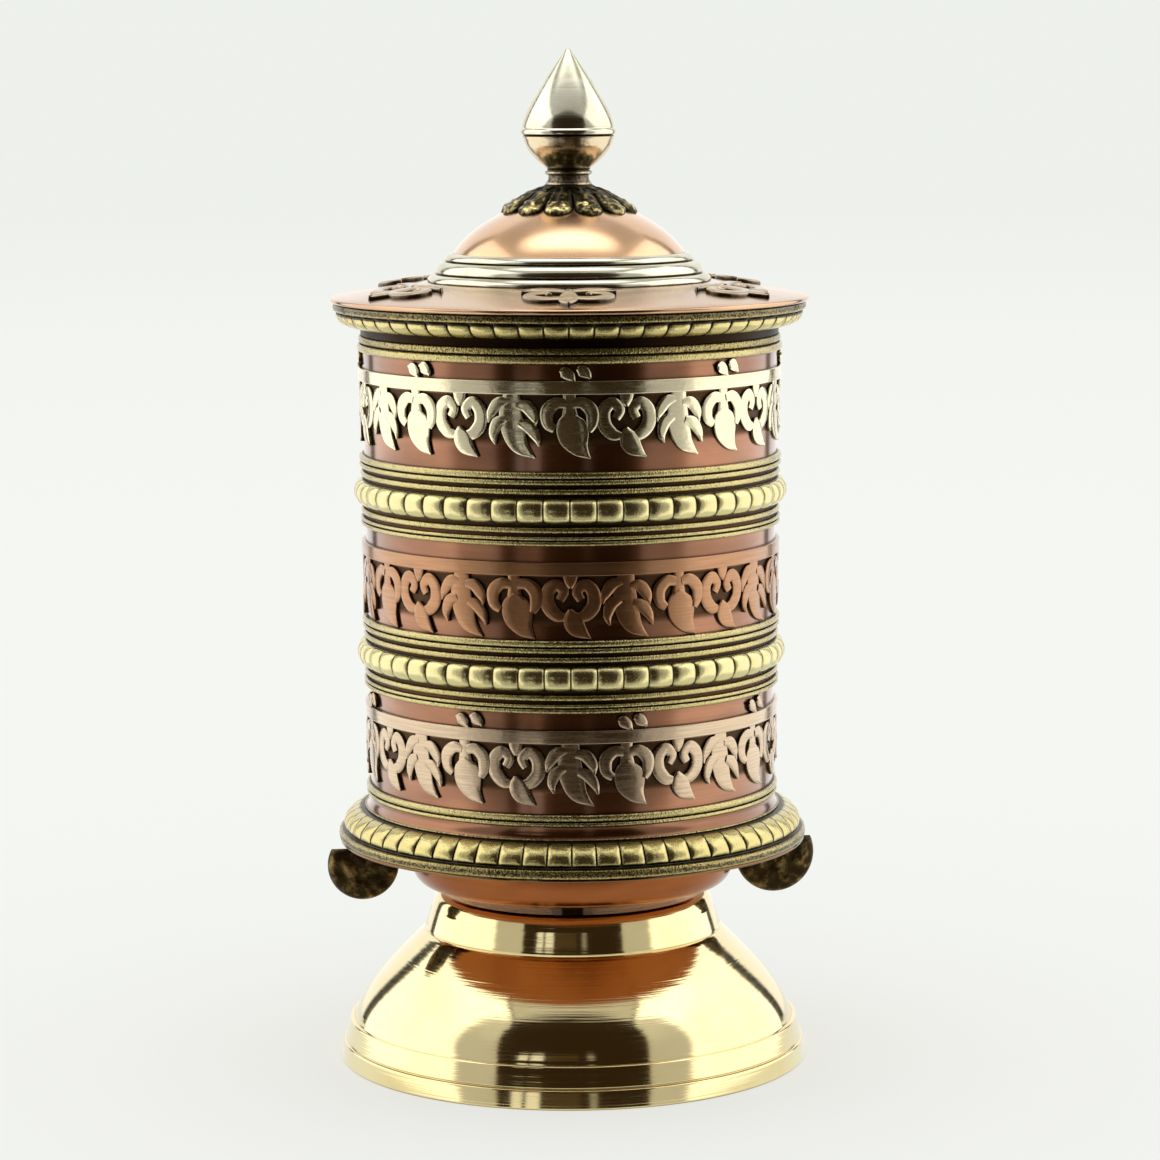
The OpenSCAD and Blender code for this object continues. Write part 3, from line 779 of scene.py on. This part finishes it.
def drum_foot():
    outline = [(wall_r(FOOT_RING_Z), FOOT_RING_Z), (WALL_FOOT_R, FLOOR_Z + 0.2)]
    outline += curve((WALL_FOOT_R + 1.1, FLOOR_Z + 0.2), (WALL_FOOT_R + 0.5, FLOOR_Z + 0.8),
                     (WALL_FOOT_R + 0.4, FLOOR_Z + 1.8), (WALL_FOOT_R + 0.6, FOOT_RING_Z), 10)
    turned("copper_cove", "drum", WALL_COPPER, "antique_copper", outline, ["cove_ring"], corner=0.1)
    trim_rings("foot_trim", ["foot_ring"], [two_ridges(FOOT_RING_Z, FOOT_RING_Z + 2.6, 1.0, 0.4)])
    trim_rings("rim_trim", ["rim_ring"],
               [bead(LID_Z - 3.4, LID_Z - 1.7, WALL_TOP_R + 0.2, 0.85, 10, 0.7)])
    # The upper ridge under the lid has darker band brass and a lowered relief: painted shade from the lid,
    # and patina.
    outline = bead(LID_Z - 1.6, LID_Z - 0.02, WALL_TOP_R + 0.15, 0.5, 8, 0.7)
    outline += [(WALL_TOP_R - 0.05, LID_Z - 0.02), (WALL_TOP_R - 0.05, LID_Z - 1.6)]
    turned("rim_shoulder", "drum", BAND_BRASS, "antique_brass", outline, relief=lambda r, z: 0.75)


def dish():
    bowl = curve((36.3, FLANGE_Z), (36.3, DRUM_Z + 4.6), (35, DRUM_Z + 0.8), (33.2, DRUM_Z), 24)
    inside = [(r - 1, z + 1) for r, z in reversed(bowl)]
    profile = bowl + [(9, DRUM_Z), (9, DRUM_Z + 1)] + inside[:-1] + [(35.6, FLANGE_Z)]
    turned("copper_dish", "drum", DISH_COPPER, "bright_copper", profile, ["bottom_dish"], corner=0.3)


# Strokes of each ornament: points of (x, y, half width), with x to the right and y up from the rail's foot
STEM_BUD = [
    [(0, 0.6, 1.1), (0, -2, 1.0), (0.1, -4.4, 1.3)],
    [(0.1, -3.6, 0.5), (0.2, -5.6, 2.2), (0.9, -8.6, 2.5), (2.2, -11.2, 1.5), (4.3, -13.2, 0.12)],
    [(-0.6, -1.9, 0.8), (-2.7, -1.7, 1.0), (-4.5, -3.4, 1.15), (-4.4, -5.9, 1.0), (-3.0, -7.2, 0.7)],
    [(0.6, -1.9, 0.8), (2.7, -1.7, 1.0), (4.5, -3.4, 1.15), (4.6, -5.8, 1.0), (3.9, -7.6, 0.6)],
]
VOLUTES = [
    [(-0.5, -8.6, 0.5), (-2.8, -8.3, 1.05), (-4.6, -6.2, 1.2), (-4.7, -3.4, 1.15), (-3.0, -1.8, 1.0),
     (-1.4, -3.2, 0.9), (-2.2, -5.0, 0.75)],
    [(0.7, -8.6, 0.5), (3.0, -8.3, 1.05), (4.8, -6.2, 1.2), (4.7, -3.4, 1.15), (3.0, -1.8, 1.0),
     (1.4, -3.2, 0.9), (2.2, -5.0, 0.75)],
    [(0, 0.6, 1.3), (0, -1.2, 1.0), (0, -2.6, 0.35)],
    [(-0.1, -6.9, 0.35), (0.3, -8.8, 1.5), (1.5, -11.0, 1.5), (4.2, -13.1, 0.12)],
]
LEAF = [
    [(0, 0.6, 1.3), (-0.4, -3.2, 1.9), (0.1, -7.2, 2.0), (1.6, -10.6, 1.5), (4.7, -13.1, 0.12)],
    [(-0.9, -1.4, 0.7), (-3.0, -1.9, 1.05), (-4.7, -4.2, 0.8), (-5.1, -5.9, 0.2)],
    [(0.8, -2.2, 0.7), (2.9, -2.4, 1.05), (4.5, -4.4, 0.9), (4.9, -6.4, 0.2)],
    [(-1.3, -5.0, 0.7), (-3.2, -6.0, 1.05), (-4.1, -8.4, 0.8), (-3.6, -10.4, 0.2)],
    [(1.4, -5.8, 0.7), (3.4, -6.6, 1.05), (4.9, -8.6, 0.8), (5.6, -10.6, 0.2)],
]
DROPS = [
    [(-1.9, 5.0, 0.25), (-1.1, 4.7, 0.95), (0.1, 3.9, 0.9), (1.1, 2.6, 0.25)],
    [(1.5, 5.3, 0.3), (2.5, 5.0, 1.0), (3.7, 4.1, 0.75), (4.3, 3.3, 0.2)],
]


def frieze(name, node, rail_z, material, slot, drops, shift):
    """Rail with ornaments hanging from it, chased in relief round the drum."""
    shape = Shape()
    top = rail_z + RAIL_H
    profile = [(wall_r(rail_z) - 0.1, rail_z), (wall_r(rail_z) + RELIEF, rail_z),
               (wall_r(top) + RELIEF, top), (wall_r(top) - 0.1, top)]
    shape.turn(rounded(profile, 0.22),
               lambda r, z: max(0.0, min(1.0, (r - wall_r(z) - 0.2) / 0.45)))
    pitch = 2 * math.pi / CELLS
    motifs = (STEM_BUD, VOLUTES, LEAF)
    for cell in range(CELLS):
        kind = (cell + shift) % len(motifs)
        strokes = motifs[kind] + (DROPS if drops and kind == 0 else [])

        def place(x, y, height, at=cell * pitch):
            z = rail_z + y
            r = wall_r(z) + height
            a = at + x / WALL_TOP_R
            return r * math.cos(a), r * math.sin(a), z

        for layer, stroke in enumerate(strokes):
            lift = -0.28 + 0.05 * layer
            spine = [(x, y, half * STROKE) for x, y, half in smooth_line(stroke, 6)]
            ribbon(shape, spine, place, RELIEF, lift=lift)
    shape.done(name, "drum", material, slot, [node])


def lugs():
    """Half-round paddles with rounded edges and a hammered face."""
    z_mid = DRUM_Z + 4
    flat = 3.6
    thick = 4.6
    arc_steps = 44
    flat_steps = 14
    centre = Vector((0, -1.6))
    rings = 16
    shape = Shape()
    for turn, radius in ((LUG_TURN, 8.8), (LUG_TURN + math.pi, 7.8)):
        reach = LUG_END - radius
        start = math.asin(flat / radius)
        x0 = radius * math.cos(start)
        sweep = [math.pi - start + (math.pi + 2 * start) * i / arc_steps for i in range(arc_steps + 1)]
        rim = [(radius * math.cos(a), radius * math.sin(a)) for a in sweep]
        rim += [(x0 - 2 * x0 * i / flat_steps, flat) for i in range(1, flat_steps)]
        along = Vector((math.cos(turn), math.sin(turn)))
        side = Vector((-along.y, along.x))
        sheets = []
        for face in (-1, 1):
            for k in range(rings + 1):
                s = k / rings if face < 0 else 1 - k / rings
                if face > 0 and k == 0:
                    continue
                depth = thick / 2 * (1 - s ** 7) ** 0.4
                row = []
                for x, z in rim:
                    p = centre + (Vector((x, z)) - centre) * max(s, 0.02)
                    beat = noise.noise(Vector((p.x * 0.42, p.y * 0.42, turn + face))) * 0.5
                    lift = face * max(0.0, depth - 0.35 + beat * min(1.0, (1 - s) * 5))
                    flat_at = along * (reach + p.x) + side * lift
                    row.append(shape.vert(flat_at.x, flat_at.y, z_mid + p.y, 0.6 + beat))
                sheets.append(row)
        shape.grid(sheets, wrap_columns=True)
        shape.bm.faces.new(sheets[0])
        shape.bm.faces.new(sheets[-1])
    shape.done("cast_lugs", "drum", LUG_BRONZE, "bronze", ["turning_lugs"], sharp=60)


def inner_parts():
    tube_top = low("pivot_cup").z
    foot = FLOOR_Z + 1.2
    tube = [(TUBE_BORE_R, foot), (TUBE_R, foot), (TUBE_R, tube_top), (TUBE_BORE_R, tube_top)]
    turned("scroll_tube", "drum", INNER_BRASS, "antique_brass", tube, ["core_tube"], corner=0.1,
           segments=64)
    cup = moved([(TUBE_R, 0), (TUBE_R, 4.8), (4.1, 5.4), (3.4, 5.6), (0, 5.6), (0, 3.7), (0.4, 3.5),
                 (2.62, 0.45), (2.62, 0)], 0, tube_top)
    turned("point_cap", "drum", CUP_BRONZE, "bronze", cup, ["pivot_cup"], corner=0, segments=64)


def scroll():
    """A long strip wound round the tube, with a visible coil at both ends."""
    z0, z1 = low("prayer_scroll").z, high("prayer_scroll").z
    inner, outer = TUBE_R + 0.1, high("prayer_scroll").x
    turns = 21
    per = 72
    pitch = (outer - inner) / (turns + 1)
    rows = []
    shape = Shape()
    for i in range(turns * per + 1):
        a = 2 * math.pi * i / per
        r = inner + pitch * i / per
        ruffle = 0.35 * noise.noise(Vector((i / per * 1.7, 0, 0)))
        top = z1 - 0.45 + ruffle
        foot = z0 + 0.1
        thick = pitch * 0.84
        section = [(r, foot), (r, top - 0.1), (r + thick * 0.3, top), (r + thick * 0.7, top),
                   (r + thick, top - 0.15), (r + thick, foot)]
        rows.append([shape.polar(rr, a, zz) for rr, zz in section])
    shape.grid(rows, wrap_columns=True)
    shape.bm.faces.new(rows[0])
    shape.bm.faces.new(rows[-1])
    shape.done("paper_scroll", "drum", PAPER, "paper", ["prayer_scroll"], sharp=50)
    bands = Shape()
    for level in (0.25, 0.75):
        z = z0 + (z1 - z0) * level
        outline = bead(z - 2, z + 2, outer + 0.1, 0.4, 8, 0.4)
        bands.turn(outline + [(outer - 0.1, z + 2), (outer - 0.1, z - 2)], None, 128)
    bands.done("silk_bands", "drum", SILK, "silk", ["scroll_bands"])


# ---------------------------------------------------------------- lid

def lid_sheet():
    hole = lid_top(LID_HOLE_R)
    top_edge = lid_top(LID_R)
    profile = [(STUD_HOLE_R, hole), (LID_HOLE_R, hole), (31, lid_top(31)), (40, lid_top(40)),
               (LID_R - 1.5, lid_top(LID_R - 1.5))]
    profile += list(reversed(bead(top_edge - 1.2, top_edge - 0.05, LID_R - 0.75, 0.75, 12, 0.8)))
    profile += [(LID_R - 1.4, lid_top(LID_R - 1.4) - LID_SHEET), (LID_HOLE_R, hole - LID_SHEET),
                (STUD_HOLE_R, hole - LID_SHEET)]
    turned("copper_lid", "lid", LID_COPPER, "antique_copper", profile, ["lid_cone"], corner=0)


def lid_underside():
    skirt_r = WALL_TOP_R - WALL_T - 0.5
    seat_r = WALL_TOP_R + 0.2
    skirt = [(skirt_r - 1, LID_Z - 9), (skirt_r, LID_Z - 9), (skirt_r, LID_Z), (seat_r, LID_Z + 0.02),
             (seat_r, LID_Z + 1.8), (seat_r - 1, LID_Z + 2), (seat_r - 1, lid_top(seat_r - 1) - LID_SHEET),
             (skirt_r - 1, lid_top(skirt_r - 1) - LID_SHEET)]
    # The neck and seat sit in the gap under the lid and are near-black copper: painted shade.
    turned("lid_neck", "lid", PAINTED_SHADE_COPPER, "antique_copper", skirt, ["lid_skirt"], corner=0.2)

    z = LID_Z + 5.2
    inner = WALL_TOP_R - 0.8
    outline = [(inner, z - 0.3), (LID_R - 1.7, z - 0.3), (LID_R - 1.6, z - 0.05)]
    outline += bead(z + 0.1, z + 1.75, LID_R - 1.3, 0.5, 10, 0.5)
    outline += [(LID_R - 1.7, z + 1.95), (inner, lid_top(inner) - LID_SHEET)]
    turned("lid_rim_band", "lid", BAND_BRASS, "antique_brass", outline, ["lid_band"], corner=0.1,
           relief=lambda radius, h: band_relief(radius - LID_R + 1.8, h - z - 0.9))

    z0 = LID_Z + 1.9
    z1 = LID_Z + 4.9
    steps = 16
    crest = curve((LID_R - 4.9, z0), (LID_R - 3.0, z0 + 0.1),
                  (LID_R - 1.1, z0 + 1.3), (LID_R - 1.5, z1), steps)
    groove = []
    for i, (rc, zc) in enumerate(crest):
        depth = 0.7 * math.sin(math.pi * (0.1 + 0.8 * i / steps)) ** 0.6
        groove.append((rc - depth * 0.85, zc + depth * 0.35))
    lobed("lid_beads", "lid", LOBE_BRASS, "lid_gadroon", crest, groove, [(inner, z1), (inner, z0)],
          FLANGE_LOBES, shaded_foot=0.1, shaded_top=0.15)


def collar_and_dome():
    z = COLLAR_Z
    outline = [(LID_HOLE_R, lid_top(LID_HOLE_R)), (29.7, lid_top(29.7))]
    for z0, z1, r, depth in ((lid_top(30.6), z + 0.9, 30.6, 1.4), (z + 1.15, z + 3.6, 29.0, 1.9),
                             (z + 3.85, z + 5.35, 26.9, 1.4)):
        outline += [(r - 0.5, z0 - 0.1)]
        outline += curve((r, z0 + 0.1), (r + 0.1, z0 + 0.45 * (z1 - z0)),
                         (r - 0.5 * depth, z1), (r - depth, z1), 14)
        outline += [(r - depth - 0.15, z1 - 0.05)]
    outline += [(25.2, z + 5.2), (LID_HOLE_R, z + 5.2)]
    turned("metal_collar", "lid", WHITE_METAL, "white_metal", outline, ["stepped_collar"], corner=0.08)

    crown = curve((25.05, z + 5.3), (22.5, z + 9.1), (18.5, z + 12.7), (8, z + 16.5), 36)
    inside = [(r - 0.6, h - 0.7) for r, h in reversed(crown) if h - 0.7 > z + 5.3]
    profile = crown + [(STUD_HOLE_R, z + 16.5), (STUD_HOLE_R, z + 15.7)] + inside + [(24.3, z + 5.3)]
    turned("copper_dome", "lid", DOME_COPPER, "antique_copper", profile, ["dome"], corner=0)


def petal_ring():
    """Cast petals, each with a raised border, a midrib, knobs and a curled tip."""
    foot = FINIAL_Z
    line = curve(*moved([(4.6, -0.7), (8.3, -1.1), (11.9, -3.3), (14.5, -6.0)], 0, foot), 34)
    columns = 18
    shape = Shape()
    for petal in range(PETALS):
        at = 2 * math.pi * petal / PETALS - math.pi / 2 + PETAL_TURN
        upper = []
        lower = []
        for i, (r, z) in enumerate(line):
            t = i / (len(line) - 1)
            half = 1.25 + 1.9 * math.sin(math.pi * 0.56 * t) ** 1.3
            if t > 0.84:
                half *= math.sqrt(max(0.02, 1 - ((t - 0.84) / 0.17) ** 2))
            top_row = []
            low_row = []
            for j in range(columns + 1):
                s = 2 * j / columns - 1
                border = 0.3 * math.exp(-((abs(s) - 0.75) / 0.16) ** 2)
                rib = 0.25 * math.exp(-(s / 0.2) ** 2)
                knobs = 0.22 * math.sin(t * 21) * math.exp(-((abs(s) - 0.4) / 0.22) ** 2)
                bulb = 0.85 * math.exp(-((t - 0.87) / 0.1) ** 2) * math.cos(s * 1.35)
                fold = 0.4 * math.exp(-((t - 0.7) / 0.045) ** 2) * (1 - s * s)
                round_off = 0.9 * math.sqrt(max(0.0, 1 - s * s))
                height = round_off + (border + rib + knobs) * min(1.0, 2.2 * (1 - t)) + bulb + fold - 0.25
                height += 0.28 * noise.noise(Vector((r * 0.9 + petal * 7, s * 1.8, z * 0.9)))
                a = at + s * half / max(r, 5)
                top_row.append(shape.polar(r + height * t * 0.5, a, z + height * (1 - 0.5 * t) - 0.35,
                                           min(1.0, max(0.0, 0.75 * height - 0.25 + 0.35 * t))))
                low_row.append(shape.polar(r - 0.5 * t, a, z - 0.9, 0))
            upper.append(top_row)
            lower.append(low_row)
        shape.grid(upper)
        shape.grid(lower)
        for i in range(len(line) - 1):
            for j in (0, columns):
                shape.face(upper[i][j], upper[i + 1][j], lower[i + 1][j], lower[i][j])
        for j in range(columns):
            shape.face(upper[0][j], upper[0][j + 1], lower[0][j + 1], lower[0][j])
            shape.face(upper[-1][j], upper[-1][j + 1], lower[-1][j + 1], lower[-1][j])
    hub = moved([(STUD_HOLE_R, -3.4), (9.0, -3.2), (8.6, -1.7), (5.4, -0.5), (5.2, 0),
                 (STUD_HOLE_R, 0)], 0, foot)
    shape.turn(rounded(hub, 0.3), lambda r, z: 0.25, 96)
    shape.done("cast_petals", "lid", PETAL_BRONZE, "bronze", ["petal_collar"], sharp=60)


# Strokes of a lid ornament: x along the rim, y towards the lid's middle
CLOUD_STEM = [(0, -7.6, 0.15), (-0.2, -5.0, 1.5), (0, -2.0, 1.9), (0, 1.6, 1.5), (0, 5.2, 0.9)]
CLOUD_CURL = [(0.6, -2.6, 0.8), (3.4, -3.4, 1.2), (6.0, -1.6, 1.3), (6.2, 1.4, 1.1), (3.9, 2.3, 0.9),
              (3.2, 0.5, 0.6)]
CLOUD_WING = [(0.6, 3.2, 0.6), (3.0, 4.6, 1.1), (6.2, 4.6, 0.9), (8.4, 3.0, 0.15)]
CLOUD = [CLOUD_STEM] + [[(side * x, y, half) for x, y, half in stroke]
                        for stroke in (CLOUD_CURL, CLOUD_WING) for side in (-1, 1)]


def emblems():
    shape = Shape()
    for i in range(EMBLEMS):

        def place(x, y, height, at=-math.pi / 2 + 2 * math.pi * i / EMBLEMS):
            r = EMBLEM_RING_R - y
            a = at + x / EMBLEM_RING_R
            return r * math.cos(a), r * math.sin(a), lid_top(r) + height

        for layer, stroke in enumerate(CLOUD):
            spine = [(x * 1.28, y, half * 1.1) for x, y, half in smooth_line(stroke, 7)]
            ribbon(shape, spine, place, 0.85, edge=0.4, crown=0.16, lift=0.04 * layer)
    shape.done("cloud_ornaments", "lid", EMBLEM_BRONZE, "bronze", ["lid_emblems"])


def finial():
    z = FINIAL_Z
    cup_top = DROP_Z
    outline = [(STUD_HOLE_R, z), (5.1, z), (5.0, z + 0.3)]
    outline += curve((4.7, z + 0.6), (4.4, z + 1), (4.3, z + 1.5), (4.4, z + 2.0), 6)
    outline += bead(z + 2.1, z + 2.95, 4.55, 0.6, 10, 0.8)
    outline += curve((4.5, z + 3.1), (5.6, z + 4.1), (8.2, z + 5.6), (9.4, z + 8.5), 18)
    outline += moved([(9.85, -0.9), (9.95, -0.5), (9.6, -0.1), (STUD_HOLE_R, -0.05)], 0, cup_top)
    turned("bronze_cup", "lid", CUP_BRONZE, "bronze", outline, ["finial_cup"],
           relief=lambda r, h: 1.0 if h > z + 3.4 else 0.42 + 0.2 * (r > 4.8), segments=160)

    side = moved([(0, 0), (10.0, 0), (10.4, 0.15), (10.5, 0.5), (10.45, 0.95), (10.15, 1.25),
                  (9.98, 1.4), (9.98, 1.6)], 0, cup_top)
    side += curve((10.0, cup_top + 1.8), (9.5, cup_top + 5), (6, cup_top + 10.5), (0.45, TIP_Z - 0.15), 44)
    side += [(0.2, TIP_Z - 0.04), (0, TIP_Z - 0.02)]
    turned("metal_drop", "lid", WHITE_METAL, "white_metal", side, ["finial_drop"], corner=0, segments=160,
           sharp=50)


# ---------------------------------------------------------------- plain CAD nodes that keep their shape

def finish_cad(nodes, material):
    """Gives CAD nodes their material and leaves their meshes alone."""
    for name in nodes:
        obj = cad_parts[name]
        obj.data.materials.clear()
        obj.data.materials.append(material)


# ---------------------------------------------------------------- studio

def stage_sheet(name, corners, material):
    """One flat sheet of the studio from its four corners."""
    bm = bmesh.new()
    bm.faces.new([bm.verts.new([c * MM for c in corner]) for corner in corners])
    mesh = bpy.data.meshes.new(name)
    bm.to_mesh(mesh)
    bm.free()
    sheet = bpy.data.objects.new(name, mesh)
    bpy.context.scene.collection.objects.link(sheet)
    mesh.materials.append(material)
    return sheet


def only_in_reflections(sheet):
    for ray in ("camera", "diffuse", "shadow", "transmission", "volume_scatter"):
        setattr(sheet, "visible_" + ray, False)


def table():
    """Table top, half matt and half glowing so that shadows on it stay faint, which is painted light; it is
    paler near the wheel, a painted pool of light, and fades to the backdrop far away.

    Two sheets share its material: one that all but reflections see, and one for reflections alone,
    which ends close in front of the wheel.
    """
    look = Look("matt_and_glowing_white", 1.0, metallic=0.0)
    # Paler near the wheel as a painted pool of light, and half glowing as painted light that keeps shadows
    # faint.
    shade = look.mix(look.ramp(look.r, *TABLE_FADE), TABLE_NEAR, BACKDROP)
    look.tree.nodes.remove(look.shader)
    matt = look.node("ShaderNodeBsdfDiffuse", Color=look.vector("DIVIDE", shade, SOFT_LIGHT[:3]))
    glow = look.node("ShaderNodeEmission", Color=shade)
    both = look.node("ShaderNodeMixShader")
    look.feed(both.inputs[1], matt.outputs[0])
    look.feed(both.inputs[2], glow.outputs[0])
    look.feed(look.tree.nodes["Material Output"].inputs["Surface"], both.outputs[0])
    far = TABLE_REACH

    def corners(front):
        return [(-far, front, 0), (far, front, 0), (far, far, 0), (-far, far, 0)]

    top = stage_sheet("table", corners(-far), look.material)
    top.visible_glossy = False
    only_in_reflections(stage_sheet("table_in_reflections", corners(TABLE_FRONT), look.material))


def cloth(name):
    """Glowing material of a tent wall, with its coordinates split up and its level still to be fed."""
    look = Look(name, 1.0, metallic=0.0)
    look.colour((0, 0, 0))
    look.shader.inputs["Specular IOR Level"].default_value = 0
    look.feed(look.shader.inputs["Emission Color"], CLOTH_WHITE)
    parts = look.node("ShaderNodeSeparateXYZ", Vector=look.place)
    return look, look.math("ABSOLUTE", parts.outputs["X"]), parts.outputs["X"], parts.outputs["Y"]


def lit(look, level):
    look.feed(look.shader.inputs["Emission Strength"], level)
    return look.material


def side_cloth():
    """Bright, with a grey fold by the open front and a dark seam in the back corner."""
    look, _, _, y = cloth("tent_side")
    off_middle = look.minus(look.z, FOLD_MIDDLE_Z)
    fold = look.times(look.times(off_middle, off_middle), FOLD_BEND)
    past_fold = look.minus(look.math("ADD", y, -FOLD_Y), fold)
    level = look.ramp(past_fold, -14.0, 14.0, FLAP_LEVEL, SIDE_LEVEL)
    level = look.times(level, look.ramp(look.z, 170.0, 300.0, 1.0, 1.2))
    level = look.times(level, look.ramp(y, TENT - 22, TENT - 36, SEAM_LEVEL, 1.0))
    level = look.times(level, look.ramp(look.z, TENT_TOP - 5, TENT_TOP - 12, EDGE_LEVEL, 1.0))
    return lit(look, level)


def back_cloth():
    look, across, _, _ = cloth("tent_back")
    level = look.ramp(across, TENT - 22, TENT - 36, SEAM_LEVEL, BACK_LEVEL)
    return lit(look, level)


def top_cloth():
    """Grey, with the bright patch under the overhead lamp."""
    look, across, _, y = cloth("tent_top")
    lamp_x = look.math("POWER", look.math("DIVIDE", across, LAMP_HALF_X), 2.0)
    off_lamp = look.math("DIVIDE", look.math("ADD", y, -LAMP_Y), LAMP_HALF_Y)
    lamp_y = look.math("POWER", look.math("ABSOLUTE", off_lamp), 3.0)
    level = look.ramp(look.math("ADD", lamp_x, lamp_y), 1.3, 0.15, TOP_LEVEL, LAMP_LEVEL)
    level = look.times(level, look.ramp(across, TENT - 6, TENT - 14, EDGE_LEVEL, 1.0))
    return lit(look, level)


def front_cloth():
    """Grey flaps either side of the opening, and beyond it a dark room with a few lit slits."""
    look, across, x, _ = cloth("tent_front")
    opening = look.math("ADD", look.times(look.z, OPENING_SPREAD), OPENING_HALF)
    opening = look.math("MINIMUM", opening, OPENING_MOST)
    room = look.ramp(look.minus(across, opening), 6.0, -6.0)
    room = look.times(room, look.ramp(look.z, -50.0, -30.0))
    slits = 0.0
    for middle, half, glow in SLITS:
        away = look.math("ABSOLUTE", look.minus(x, float(middle)))
        slits = look.math("MAXIMUM", slits, look.ramp(away, half + 3.0, half - 3.0, 0.0, glow))
    upper_row = look.times(look.ramp(look.z, 93.0, 99.0), look.ramp(look.z, 134.0, 124.0))
    rows = look.math("MAXIMUM", look.ramp(look.z, 40.0, 32.0), upper_row)
    slits = look.times(slits, rows)
    dim = look.times(look.minus(1.0, room), FLAP_LEVEL)
    level = look.math("ADD", dim, look.times(room, look.math("MAXIMUM", slits, ROOM_LEVEL)))
    unlit = look.times(room, look.ramp(slits, 0.3, 0.0))
    look.feed(look.shader.inputs["Emission Color"], look.mix(unlit, CLOTH_WHITE, ROOM_GLOW))
    return lit(look, level)


def tent():
    """Light tent round the wheel; only the reflections in the metal see it, not the camera."""
    near, far, foot, top = -TENT, TENT, -TENT_TOP / 2, TENT_TOP

    def upright(x0, y0, x1, y1):
        return [(x0, y0, foot), (x1, y1, foot), (x1, y1, top), (x0, y0, top)]

    walls = {
        "tent_left": (side_cloth(), upright(near, near, near, far)),
        "tent_right": (side_cloth(), upright(far, near, far, far)),
        "tent_back": (back_cloth(), upright(near, far, far, far)),
        "tent_front": (front_cloth(), upright(near, near, far, near)),
        "tent_top": (top_cloth(), [(near, near, top), (far, near, top), (far, far, top), (near, far, top)]),
    }
    for name, (material, corners) in walls.items():
        only_in_reflections(stage_sheet(name, corners, material))


def studio_world():
    """Even light for matt surfaces and the backdrop that the camera sees; the metal reflects the tent."""
    world = bpy.data.worlds.new("backdrop")
    bpy.context.scene.world = world
    world.use_nodes = True
    tree = world.node_tree
    seen = tree.nodes.new("ShaderNodeLightPath").outputs["Is Camera Ray"]
    soft = tree.nodes["Background"]
    soft.inputs["Color"].default_value = SOFT_LIGHT
    pale = tree.nodes.new("ShaderNodeBackground")
    pale.inputs["Color"].default_value = BACKDROP
    both = tree.nodes.new("ShaderNodeMixShader")
    tree.links.new(seen, both.inputs[0])
    tree.links.new(soft.outputs[0], both.inputs[1])
    tree.links.new(pale.outputs[0], both.inputs[2])
    tree.links.new(both.outputs[0], tree.nodes["World Output"].inputs["Surface"])
    world.cycles_visibility.glossy = False


def camera():
    """Long lens a little above the lid's height, tipped down at the middle of the wheel."""
    height = 216.9 * MM
    away = 838.7 * MM
    aside = 2.0 * MM
    tip_down = math.radians(7.6)
    roll = math.radians(-0.3)
    data = bpy.data.cameras.new("camera")
    data.lens = LENS_MM
    data.sensor_width = SENSOR_MM
    cam = bpy.data.objects.new("camera", data)
    cam.matrix_world = (Matrix.Translation((aside, -away, height))
                        @ Matrix.Rotation(math.pi / 2 - tip_down, 4, "X") @ Matrix.Rotation(roll, 4, "Z"))
    bpy.context.scene.collection.objects.link(cam)
    bpy.context.scene.camera = cam


camera()
table()
tent()
studio_world()
bpy.context.scene.view_settings.view_transform = "Standard"

base_bell()
drum_wall()
ring_set("lower", LOWER_SET_Z)
ring_set("upper", UPPER_SET_Z)
flange()
drum_foot()
dish()
frieze("relief_top", "frieze_top", TOP_RAIL_Z, TOP_METAL, "white_metal", True, 0)
frieze("relief_middle", "frieze_middle", MIDDLE_RAIL_Z, MIDDLE_METAL, "antique_copper", False, 1)
frieze("relief_bottom", "frieze_bottom", BOTTOM_RAIL_Z, BOTTOM_METAL, "rose_metal", True, 2)
lugs()
inner_parts()
scroll()
lid_sheet()
lid_underside()
collar_and_dome()
petal_ring()
emblems()
finial()

finish_cad(["spindle", "spindle_nut", "spindle_washer", "spindle_lock_nut", "finial_stud", "finial_nut",
            "finial_washer"], STEEL)
finish_cad(["drum_floor", "lug_rivets"], INNER_BRASS)
finish_cad(["lower_bush"], CUP_BRONZE)
finish_cad(["felt_pad"], fibrous("felt", 0.95, (0.02, 0.06, 0.03), (0.07, 0.15, 0.09), 0.12, sheen=0.3,
                                 size=0.3, detail=5.0, rough=0.8))
finish_cad(["base_plate"], fibrous("turned_wood", 0.6, (0.30, 0.17, 0.08), (0.52, 0.34, 0.19), 0.05,
                                   size=1.5, detail=4.0, stretch=(0.15, 2.0, 2.0)))
